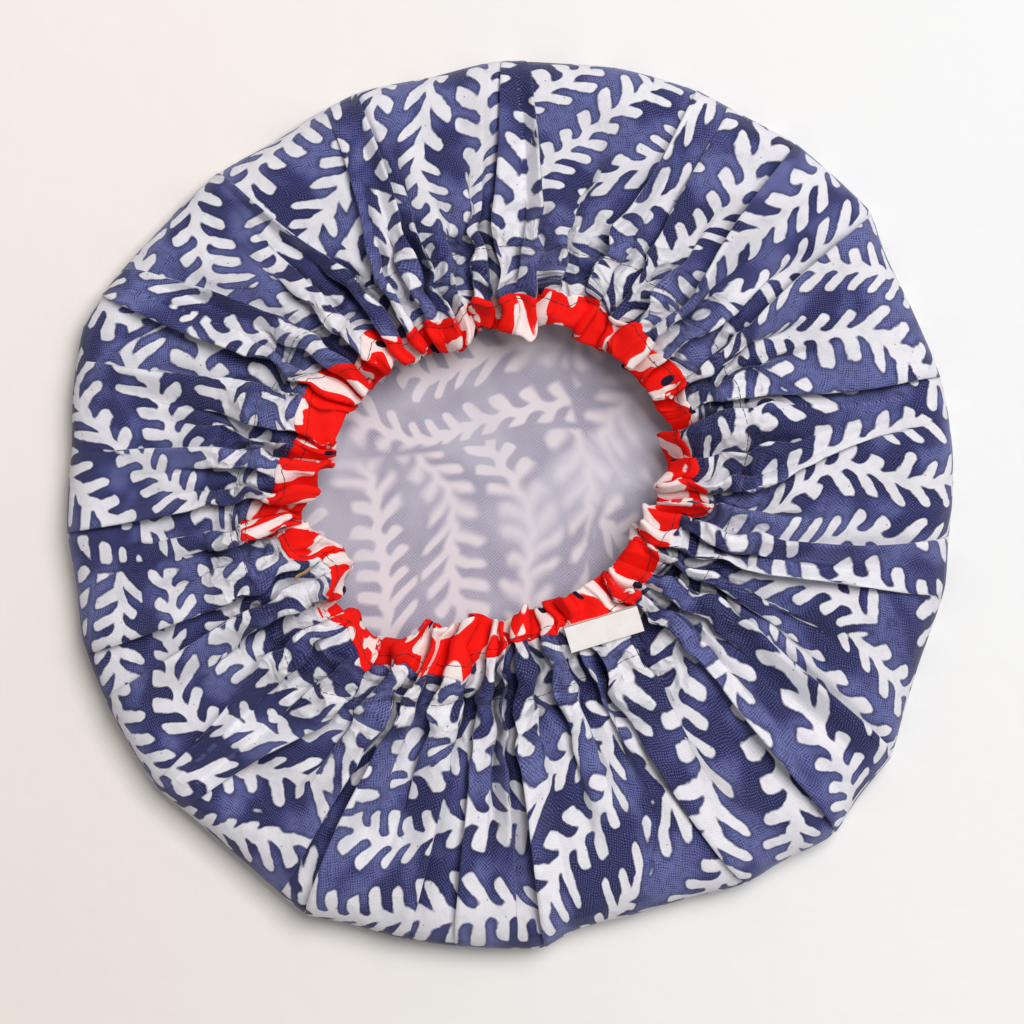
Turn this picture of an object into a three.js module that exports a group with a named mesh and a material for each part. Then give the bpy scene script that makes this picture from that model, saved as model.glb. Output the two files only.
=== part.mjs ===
// A gathered shower cap lying open side up: a printed cotton outside, a waterproof lining inside,
// a flat elastic in a stitched casing, a folded binding round the mouth and a small woven label.
// Sizes are in millimetres, +Z is up, and the origin is the middle of the face that it rests on.
import * as THREE from "three";

// The gathered cap as it lies
const CAP_RADIUS = 147;
const SIDE_ROUNDING = 14;
const WAIST_HEIGHT = 9;
const SHOULDER_HEIGHT = 19;
const MOUTH_HEIGHT = 24.5;
const CASING_DROP = 0.5;
const MOUTH_RADIUS = 56;
const MOUTH_SHIFT_X = -2.3;
const MOUTH_SHIFT_Y = 5.7;

// Cloth, film and the room between two layers
const OUTER_CLOTH = 0.8;
const LINING_FILM = 0.5;
const BINDING_CLOTH = 0.8;
const LAYER_GAP = 0.3;

// The binding, and the elastic with its ease to each side of the casing
const BINDING_WIDTH = 11;
const ELASTIC_WIDTH = 9;
const ELASTIC_THICKNESS = 1;
const ELASTIC_EASE = 3.5;

// Folds that the elastic gathers, each a long rise and a short drop
const FOLD_COUNT = 20;
const FOLD_RISE = 2.4;
const SAMPLES_PER_FOLD = 3;
const FOLD_PLACE_SHARES = [0, 0.52, 0.84];
const FOLD_HEIGHT_SHARES = [-1, 0.25, 1];
const FOLD_DRIFT_SHARE = 0.22;
const FOLD_DRIFT_WAVES = [3, 7];
const FOLD_STRENGTH_SHARE = 0.25;
const WAIST_FOLD_SHARE = 0.5;
const SHOULDER_FOLD_SHARE = 0.6;

// Sewing thread, a needle thread above the cloth and a bobbin thread below it in each seam, and the
// loose end that is left at the knot
const THREAD_DIAMETER = 0.6;
const THREAD_SIDES = 4;
const BINDING_STITCH_INSET = 2.2;
const TAIL_SIDES = 6;
const TAIL_DIAMETER = 0.9;
const TAIL_STEPS = 14;
const TAIL_LENGTH = 7;
const TAIL_CURL = 1.4;
const TAIL_RISE = 1.6;
const TAIL_ANGLE_DEGREES = 203;
const TAIL_ROOT_GAP = 0.6;
const TAIL_TURN_DEGREES = 40;

// The label, a folded ribbon caught under the binding's outer edge
const LABEL_WIDTH = 25;
const LABEL_LENGTH = 8.5;
const LABEL_THICKNESS = 0.8;
const LABEL_ANGLE_DEGREES = 305.5;
const LABEL_TURN_DEGREES = 17;
const LABEL_ROOT_GAP = 1.2;
const LABEL_BOW = 0.5;
const LABEL_STEPS = 10;

// The outlines as shares of their radius, at equal turns from +X towards +Y
const SIDE_RADIUS_SHARES = [
  0.975, 1.01, 0.994, 1.01, 1.028, 1.012, 0.995, 0.976, 0.976, 0.993, 1.006, 1.02,
  0.993, 1.004, 1.016, 1.009, 1.021, 1.017, 1.001, 0.965, 0.967, 1.02, 1.014, 0.99,
];
const MOUTH_RADIUS_SHARES = [
  1.0, 1.035, 1.055, 0.99, 0.98, 0.955, 0.98, 1.045, 1.065,
  1.06, 1.11, 1.19, 1.0, 0.83, 0.735, 0.71, 0.83, 0.925,
];

const FULL_TURN = 2 * Math.PI;
const DEGREE = Math.PI / 180;

// The share at one turn of a closed outline, eased between its two neighbours in the table.
function shareAround(shares, turn) {
  const place = ((turn / FULL_TURN) % 1 + 1) % 1 * shares.length;
  const first = Math.floor(place) % shares.length;
  const second = (first + 1) % shares.length;
  const part = place - Math.floor(place);
  const eased = part * part * (3 - 2 * part);
  return shares[first] * (1 - eased) + shares[second] * eased;
}

// The columns of every layer: the turn of each and how high its fold stands, from -1 to 1.
function foldColumns() {
  const columns = [];
  const pitch = FULL_TURN / FOLD_COUNT;
  for (let fold = 0; fold < FOLD_COUNT; fold += 1) {
    for (let sample = 0; sample < SAMPLES_PER_FOLD; sample += 1) {
      const even = (fold + FOLD_PLACE_SHARES[sample]) * pitch;
      const drift = FOLD_DRIFT_WAVES.map((waves) => Math.sin(waves * even) / waves);
      const strength = 1 + FOLD_STRENGTH_SHARE * Math.sin(FOLD_DRIFT_WAVES[1] * even + 1);
      columns.push({
        turn: even + FOLD_DRIFT_SHARE * (drift[0] + drift[1]),
        fold: FOLD_HEIGHT_SHARES[sample] * strength,
      });
    }
  }
  return columns;
}
const columns = foldColumns();

const sideRadius = (turn) => CAP_RADIUS * shareAround(SIDE_RADIUS_SHARES, turn);
const mouthRadius = (turn) => MOUTH_RADIUS * shareAround(MOUTH_RADIUS_SHARES, turn);
const bindingRadius = (turn) => mouthRadius(turn) + BINDING_WIDTH;
const elasticInRadius = (turn) => bindingRadius(turn) + ELASTIC_EASE;
const elasticOutRadius = (turn) => elasticInRadius(turn) + ELASTIC_WIDTH;
const casingRadius = (turn) => elasticOutRadius(turn) + ELASTIC_EASE;
const flatRadius = (turn) => sideRadius(turn) - SIDE_ROUNDING;

const CAP_CENTRE = [0, 0];
const MOUTH_CENTRE = [MOUTH_SHIFT_X, MOUTH_SHIFT_Y];
const HALFWAY = Math.SQRT1_2;
const halfwayRadius = (turn) => sideRadius(turn) - SIDE_ROUNDING * (1 - HALFWAY);

// The stations along one section of the outer cloth's outside, from the sole to the mouth. Each says
// its middle, its radius at a turn, its height, the way it faces (out, up) and its share of a fold.
const station = {
  sole: {
    centre: CAP_CENTRE,
    radius: flatRadius,
    height: 0,
    out: 0,
    up: -1,
    fold: 0,
  },
  lowSide: {
    centre: CAP_CENTRE,
    radius: halfwayRadius,
    height: WAIST_HEIGHT * (1 - HALFWAY),
    out: HALFWAY,
    up: -HALFWAY,
    fold: 0,
  },
  waist: {
    centre: CAP_CENTRE,
    radius: sideRadius,
    height: WAIST_HEIGHT,
    out: 1,
    up: 0,
    fold: WAIST_FOLD_SHARE,
  },
  highSide: {
    centre: CAP_CENTRE,
    radius: halfwayRadius,
    height: WAIST_HEIGHT + (SHOULDER_HEIGHT - WAIST_HEIGHT) * HALFWAY,
    out: HALFWAY,
    up: HALFWAY,
    fold: WAIST_FOLD_SHARE,
  },
  shoulder: {
    centre: CAP_CENTRE,
    radius: flatRadius,
    height: SHOULDER_HEIGHT,
    out: 0,
    up: 1,
    fold: SHOULDER_FOLD_SHARE,
  },
  casing: {
    centre: MOUTH_CENTRE,
    radius: casingRadius,
    height: MOUTH_HEIGHT - CASING_DROP,
    out: 0,
    up: 1,
    fold: 1,
  },
  elasticOut: {
    centre: MOUTH_CENTRE,
    radius: elasticOutRadius,
    height: MOUTH_HEIGHT,
    out: 0,
    up: 1,
    fold: 1,
  },
  elasticIn: {
    centre: MOUTH_CENTRE,
    radius: elasticInRadius,
    height: MOUTH_HEIGHT,
    out: 0,
    up: 1,
    fold: 1,
  },
  binding: {
    centre: MOUTH_CENTRE,
    radius: bindingRadius,
    height: MOUTH_HEIGHT,
    out: 0,
    up: 1,
    fold: 1,
  },
  mouth: {
    centre: MOUTH_CENTRE,
    radius: mouthRadius,
    height: MOUTH_HEIGHT,
    out: 0,
    up: 1,
    fold: 1,
  },
};

// One ring of points: a station, a depth into the cloth from its outside, and a step along the cloth
// towards the cap's side.
function ring(place, depth, outward = 0) {
  return columns.map(({ turn, fold }) => {
    const along = place.fold * fold * FOLD_RISE - depth;
    const radius = place.radius(turn) + place.out * along + outward;
    return [
      place.centre[0] + radius * Math.cos(turn),
      place.centre[1] + radius * Math.sin(turn),
      place.height + place.up * along,
    ];
  });
}

const reachOf = (points) => Math.hypot(points[0][0], points[0][1]);

// A closed mesh from rings that follow each other. With no poles the last ring meets the first, as in
// a hoop; with poles the first and last rings each close on their own point. Every strip is split
// along the same slant, whichever way it runs, so that two layers that lie together stay parallel.
function shellOfRings(rings, poles) {
  const across = columns.length;
  const points = rings.flat();
  const faces = [];
  const strips = poles ? rings.length - 1 : rings.length;
  for (let row = 0; row < strips; row += 1) {
    const following = (row + 1) % rings.length;
    const near = row * across;
    const far = following * across;
    const runsOut = reachOf(rings[following]) > reachOf(rings[row]);
    for (let column = 0; column < across; column += 1) {
      const next = (column + 1) % across;
      if (runsOut) {
        faces.push(near + column, near + next, far + column);
        faces.push(near + next, far + next, far + column);
      } else {
        faces.push(near + column, far + next, far + column);
        faces.push(near + column, near + next, far + next);
      }
    }
  }
  if (poles) {
    const first = points.length;
    points.push(poles[0], poles[1]);
    const lastRow = (rings.length - 1) * across;
    for (let column = 0; column < across; column += 1) {
      const next = (column + 1) % across;
      faces.push(first, next, column);
      faces.push(first + 1, lastRow + column, lastRow + next);
    }
  }
  const geometry = new THREE.BufferGeometry();
  geometry.setAttribute("position", new THREE.Float32BufferAttribute(points.flat(), 3));
  geometry.setIndex(faces);
  geometry.computeVertexNormals();
  return geometry;
}

function finish(color, roughness) {
  return new THREE.MeshStandardMaterial({ color, roughness, metalness: 0 });
}
const blueCotton = finish(0x4a5390, 0.85);
const frostedFilm = finish(0xb7b5cb, 0.5);
const knitElastic = finish(0xf2efe8, 0.8);
const redCotton = finish(0xe01a12, 0.85);
const darkThread = finish(0x4a1420, 0.7);
const creamRibbon = finish(0xe9e4dc, 0.8);
const goldThread = finish(0xb98a4a, 0.6);

const cap = new THREE.Group();

function addPiece(name, geometry, material) {
  const piece = new THREE.Mesh(geometry, material);
  piece.name = name;
  cap.add(piece);
  return piece;
}

// The way that both layers take from the sole to the mouth, and how far the lining lies below the
// outside of the cotton at each station: against it, and a step away from it round the elastic.
const LINING_DEPTH = OUTER_CLOTH + LAYER_GAP;
const ELASTIC_DEPTH = LINING_DEPTH;
const ROUND_ELASTIC_DEPTH = ELASTIC_DEPTH + ELASTIC_THICKNESS + LAYER_GAP;
const way = [
  { place: station.sole, liningDepth: LINING_DEPTH },
  { place: station.lowSide, liningDepth: LINING_DEPTH },
  { place: station.waist, liningDepth: LINING_DEPTH },
  { place: station.highSide, liningDepth: LINING_DEPTH },
  { place: station.shoulder, liningDepth: LINING_DEPTH },
  { place: station.casing, liningDepth: LINING_DEPTH },
  { place: station.elasticOut, liningDepth: ROUND_ELASTIC_DEPTH },
  { place: station.elasticIn, liningDepth: ROUND_ELASTIC_DEPTH },
  { place: station.binding, liningDepth: LINING_DEPTH },
  { place: station.mouth, liningDepth: LINING_DEPTH },
];

// A layer of cloth along that way, closed at its middle and open at the mouth.
function layer(depthAt, thickness) {
  const outside = way.map((stop) => ring(stop.place, depthAt(stop)));
  const inside = way.map((stop) => ring(stop.place, depthAt(stop) + thickness)).reverse();
  const depth = depthAt(way[0]);
  return shellOfRings([...outside, ...inside], [[0, 0, depth], [0, 0, depth + thickness]]);
}
addPiece("outer_fabric", layer(() => 0, OUTER_CLOTH), blueCotton);
addPiece("lining", layer((stop) => stop.liningDepth, LINING_FILM), frostedFilm);

// The flat elastic, one closed loop that runs in the casing.
function elasticBand() {
  const top = ELASTIC_DEPTH;
  const under = ELASTIC_DEPTH + ELASTIC_THICKNESS;
  return shellOfRings([
    ring(station.elasticOut, top, -LAYER_GAP),
    ring(station.elasticIn, top, LAYER_GAP),
    ring(station.elasticIn, under, LAYER_GAP),
    ring(station.elasticOut, under, -LAYER_GAP),
  ]);
}
addPiece("elastic_band", elasticBand(), knitElastic);

// The binding is a strip folded over the raw edges of the cotton and the lining.
const EDGE_THICKNESS = LINING_DEPTH + LINING_FILM;

function edgeBinding() {
  const overTop = -LAYER_GAP;
  const top = overTop - BINDING_CLOTH;
  const underside = EDGE_THICKNESS + LAYER_GAP;
  const bottom = underside + BINDING_CLOTH;
  const middle = EDGE_THICKNESS / 2;
  return shellOfRings([
    ring(station.binding, top, -LAYER_GAP),
    ring(station.mouth, top),
    ring(station.mouth, middle, -LAYER_GAP - BINDING_CLOTH),
    ring(station.mouth, bottom),
    ring(station.binding, bottom, -LAYER_GAP),
    ring(station.binding, underside, -LAYER_GAP),
    ring(station.mouth, underside),
    ring(station.mouth, middle, -LAYER_GAP),
    ring(station.mouth, overTop),
    ring(station.binding, overTop, -LAYER_GAP),
  ]);
}
addPiece("edge_binding", edgeBinding(), redCotton);

// A row of stitches seen as one thread that lies on the cloth.
function threadRow(place, depth, outward) {
  const reach = THREAD_DIAMETER / 2;
  const rings = [];
  for (let side = 0; side < THREAD_SIDES; side += 1) {
    const turn = (side / THREAD_SIDES) * FULL_TURN;
    rings.push(ring(place, depth - reach * Math.sin(turn), outward + reach * Math.cos(turn)));
  }
  return shellOfRings(rings);
}
const THREAD_LIFT = LAYER_GAP + THREAD_DIAMETER / 2;
const BINDING_TOP = -LAYER_GAP - BINDING_CLOTH;
const BINDING_BOTTOM = EDGE_THICKNESS + LAYER_GAP + BINDING_CLOTH;
addPiece("casing_thread", threadRow(station.casing, -THREAD_LIFT, 0), darkThread);
addPiece("casing_bobbin_thread", threadRow(station.casing, EDGE_THICKNESS + THREAD_LIFT, 0), darkThread);
addPiece(
  "binding_thread",
  threadRow(station.binding, BINDING_TOP - THREAD_LIFT, -BINDING_STITCH_INSET),
  darkThread,
);
addPiece(
  "binding_bobbin_thread",
  threadRow(station.binding, BINDING_BOTTOM + THREAD_LIFT, -BINDING_STITCH_INSET),
  darkThread,
);

// The highest point of the cotton within a reach of a place, which is what a small piece lies on.
function crestNear(x, y, reach) {
  const crests = way.slice(way.length / 2).flatMap(({ place }) => ring(place, 0));
  const near = crests.filter((point) => Math.hypot(point[0] - x, point[1] - y) < reach);
  return Math.max(...near.map((point) => point[2]));
}

// The label lies on the casing's crests with its sewn end at the binding, bowed a little.
const labelTurn = LABEL_ANGLE_DEGREES * DEGREE;
const labelTilt = LABEL_TURN_DEGREES * DEGREE;
const labelRootRadius = bindingRadius(labelTurn) + LABEL_ROOT_GAP;
const labelRootX = MOUTH_CENTRE[0] + labelRootRadius * Math.cos(labelTurn);
const labelRootY = MOUTH_CENTRE[1] + labelRootRadius * Math.sin(labelTurn);
const labelMiddleX = labelRootX + (LABEL_LENGTH / 2) * Math.sin(labelTilt);
const labelMiddleY = labelRootY - (LABEL_LENGTH / 2) * Math.cos(labelTilt);
const labelSeat = crestNear(labelMiddleX, labelMiddleY, LABEL_WIDTH / 2);

function wovenLabel() {
  const half = LABEL_THICKNESS / 2;
  const edge = [];
  for (let step = 0; step <= LABEL_STEPS; step += 1) {
    const share = step / LABEL_STEPS;
    edge.push([(share - 0.5) * LABEL_WIDTH, LABEL_BOW * Math.sin(share * Math.PI)]);
  }
  const under = edge.map(([x, bow]) => new THREE.Vector2(x, bow - half));
  const over = edge.map(([x, bow]) => new THREE.Vector2(x, bow + half)).reverse();
  const section = new THREE.Shape([...under, ...over]);
  const geometry = new THREE.ExtrudeGeometry(section, { depth: LABEL_LENGTH, bevelEnabled: false });
  return geometry.rotateX(Math.PI / 2);
}
const label = addPiece("woven_label", wovenLabel(), creamRibbon);
label.position.set(labelRootX, labelRootY, labelSeat + LAYER_GAP + LABEL_THICKNESS / 2);
label.rotation.z = labelTilt;

// The knotted loose end of the thread, a small curl on the crests of the folds.
function threadTail() {
  const points = [];
  for (let step = 0; step <= TAIL_STEPS; step += 1) {
    const share = step / TAIL_STEPS;
    points.push(
      new THREE.Vector3(
        (share - 0.5) * TAIL_LENGTH,
        TAIL_CURL * Math.sin(share * FULL_TURN),
        TAIL_RISE * share * share,
      ),
    );
  }
  const round = [];
  for (let side = 0; side < TAIL_SIDES; side += 1) {
    const turn = (side / TAIL_SIDES) * FULL_TURN;
    round.push(new THREE.Vector2(Math.cos(turn), Math.sin(turn)).multiplyScalar(TAIL_DIAMETER / 2));
  }
  return new THREE.ExtrudeGeometry(new THREE.Shape(round), {
    steps: TAIL_STEPS,
    bevelEnabled: false,
    extrudePath: new THREE.CatmullRomCurve3(points),
  });
}
const tail = addPiece("thread_tail", threadTail(), goldThread);
const tailTurn = TAIL_ANGLE_DEGREES * DEGREE;
const tailRadius = bindingRadius(tailTurn) + TAIL_ROOT_GAP + TAIL_LENGTH / 2;
const tailX = MOUTH_CENTRE[0] + tailRadius * Math.cos(tailTurn);
const tailY = MOUTH_CENTRE[1] + tailRadius * Math.sin(tailTurn);
tail.position.set(tailX, tailY, crestNear(tailX, tailY, TAIL_LENGTH) + LAYER_GAP + TAIL_DIAMETER / 2);
tail.rotation.z = TAIL_TURN_DEGREES * DEGREE;

// The middle of the cap's box comes to the origin, with its sole at zero height.
const box = new THREE.Box3().setFromObject(cap, true);
const middle = box.getCenter(new THREE.Vector3());
for (const piece of cap.children) {
  piece.position.x -= middle.x;
  piece.position.y -= middle.y;
}

export default cap;
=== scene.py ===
# %% [markdown]
# # A gathered shower cap, open side up
# The real cap is two round cloths laid together, a printed cotton and a frosted waterproof lining.
# An elastic runs in a casing near their edge and a red binding closes the edge itself.
# Gathering draws a cut circle about half a metre wide in to a soft ring 295 mm across.
# This lesson builds each layer as one surface over the cut cloth, so that every fold is a fold of it.

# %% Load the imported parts
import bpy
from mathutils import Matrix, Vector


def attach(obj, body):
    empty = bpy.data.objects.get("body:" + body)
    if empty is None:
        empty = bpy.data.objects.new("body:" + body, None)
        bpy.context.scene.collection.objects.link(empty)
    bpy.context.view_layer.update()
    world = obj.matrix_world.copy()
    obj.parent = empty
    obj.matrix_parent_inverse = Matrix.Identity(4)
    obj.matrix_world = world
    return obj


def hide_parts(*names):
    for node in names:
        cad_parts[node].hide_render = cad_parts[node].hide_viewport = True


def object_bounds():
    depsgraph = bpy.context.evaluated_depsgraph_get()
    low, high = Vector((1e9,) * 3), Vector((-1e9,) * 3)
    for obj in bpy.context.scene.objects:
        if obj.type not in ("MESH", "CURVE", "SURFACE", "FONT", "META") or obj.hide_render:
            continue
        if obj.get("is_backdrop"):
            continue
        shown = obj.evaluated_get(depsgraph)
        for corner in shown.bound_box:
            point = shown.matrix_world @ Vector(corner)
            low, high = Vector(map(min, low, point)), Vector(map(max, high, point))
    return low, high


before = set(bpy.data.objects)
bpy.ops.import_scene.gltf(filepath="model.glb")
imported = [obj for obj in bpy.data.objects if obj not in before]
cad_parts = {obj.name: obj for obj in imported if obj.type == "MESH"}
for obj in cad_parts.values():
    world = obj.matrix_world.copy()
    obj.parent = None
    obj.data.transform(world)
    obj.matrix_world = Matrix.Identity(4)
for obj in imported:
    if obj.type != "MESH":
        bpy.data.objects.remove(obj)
cad_low, cad_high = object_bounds()

from types import SimpleNamespace
import bpy
import numpy as np

MM = 0.001
cad_size = [round((high - low) / MM, 1) for low, high in zip(cad_low, cad_high)]
print("size of the packed cap in mm:", cad_size)

# %% [markdown]
# ## The cap in polar places
# Everything on the cap runs round its mouth, so a place is a turn round the middle of the mouth and a
# way along the cut cloth from the middle of the crown. That way is the row, in millimetres.
# The outline was read from the photograph every few degrees; its corners are where a fold meets it.
# A table of chosen points with a smooth curve between them is quicker to correct than a free curve.

# %% Outline of the cap round the mouth
MOUTH_CENTRE = np.array([-2.3, 5.7])
# turn in degrees, radius in mm, and 1 where the outline has a corner
OUTLINE = np.array([
    (0, 150, 0), (5, 150.3, 0), (13.7, 150.2, 1), (22, 148.7, 0), (31, 149, 0), (37, 153, 1),
    (43, 151.3, 0), (49.5, 150.2, 1), (57, 147.5, 0), (64, 147, 1), (70, 145.6, 0), (76, 144.4, 1),
    (83, 142.3, 0), (90, 142, 0), (100, 138.7, 0), (110, 140, 1), (117, 138.8, 0), (124, 138, 0),
    (132.5, 141.5, 1), (140, 142.5, 0), (147, 144.5, 0), (154, 148, 1), (159, 149.7, 1),
    (167, 147, 0), (175, 144.4, 0), (186, 146, 1), (193, 146, 0), (200, 149, 1), (210, 150.5, 0),
    (221, 152.7, 1), (228, 151, 0), (236, 152, 0), (245.3, 156.8, 1), (251, 154.3, 0),
    (258, 154, 0), (267, 153.7, 0), (275, 154.3, 1), (279.5, 149.5, 0), (286, 149, 0),
    (294, 150.2, 0), (301, 154.7, 1), (307, 156, 0), (313.5, 160, 1), (319, 157.2, 0),
    (325.3, 157.5, 1), (331, 153, 0), (338, 150.4, 0), (347.5, 151, 1), (353, 149.6, 0),
])


def cubic(t, start, end, pull_out, pull_in):
    """Cubic from start to end while t goes from 0 to 1; the pulls are its slopes at the two ends."""
    return (
        (2 * t**3 - 3 * t**2 + 1) * start + (t**3 - 2 * t**2 + t) * pull_out
        + (3 * t**2 - 2 * t**3) * end + (t**3 - t**2) * pull_in
    )


def outline_radius(turn):
    """Radius of the outline in mm at turns in radians.
    Cubic pieces join the chosen points. At a smooth point both sides share the slope between its
    neighbours; at a corner each side keeps its own slope."""
    turns, radii, corners = np.radians(OUTLINE[:, 0]), OUTLINE[:, 1], OUTLINE[:, 2]
    steps = np.append(np.diff(turns), turns[0] + 2 * np.pi - turns[-1])
    rises = np.roll(radii, -1) - radii
    after = rises / steps
    before = np.roll(after, 1)
    shared = (rises + np.roll(rises, 1)) / (steps + np.roll(steps, 1))
    slope_out = np.where(corners > 0, after, shared)
    slope_in = np.roll(np.where(corners > 0, before, shared), -1)
    wrapped = np.mod(turn, 2 * np.pi)
    piece = np.clip(np.searchsorted(turns, wrapped, side="right") - 1, 0, len(turns) - 1)
    t = (wrapped - turns[piece]) / steps[piece]
    pull_out, pull_in = slope_out[piece] * steps[piece], slope_in[piece] * steps[piece]
    return cubic(t, radii[piece], np.roll(radii, -1)[piece], pull_out, pull_in)


rim_radii = outline_radius(np.linspace(0, 2 * np.pi, 720, endpoint=False))
print("outline radius in mm:", rim_radii.min().round(1), "to", rim_radii.max().round(1))
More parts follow.
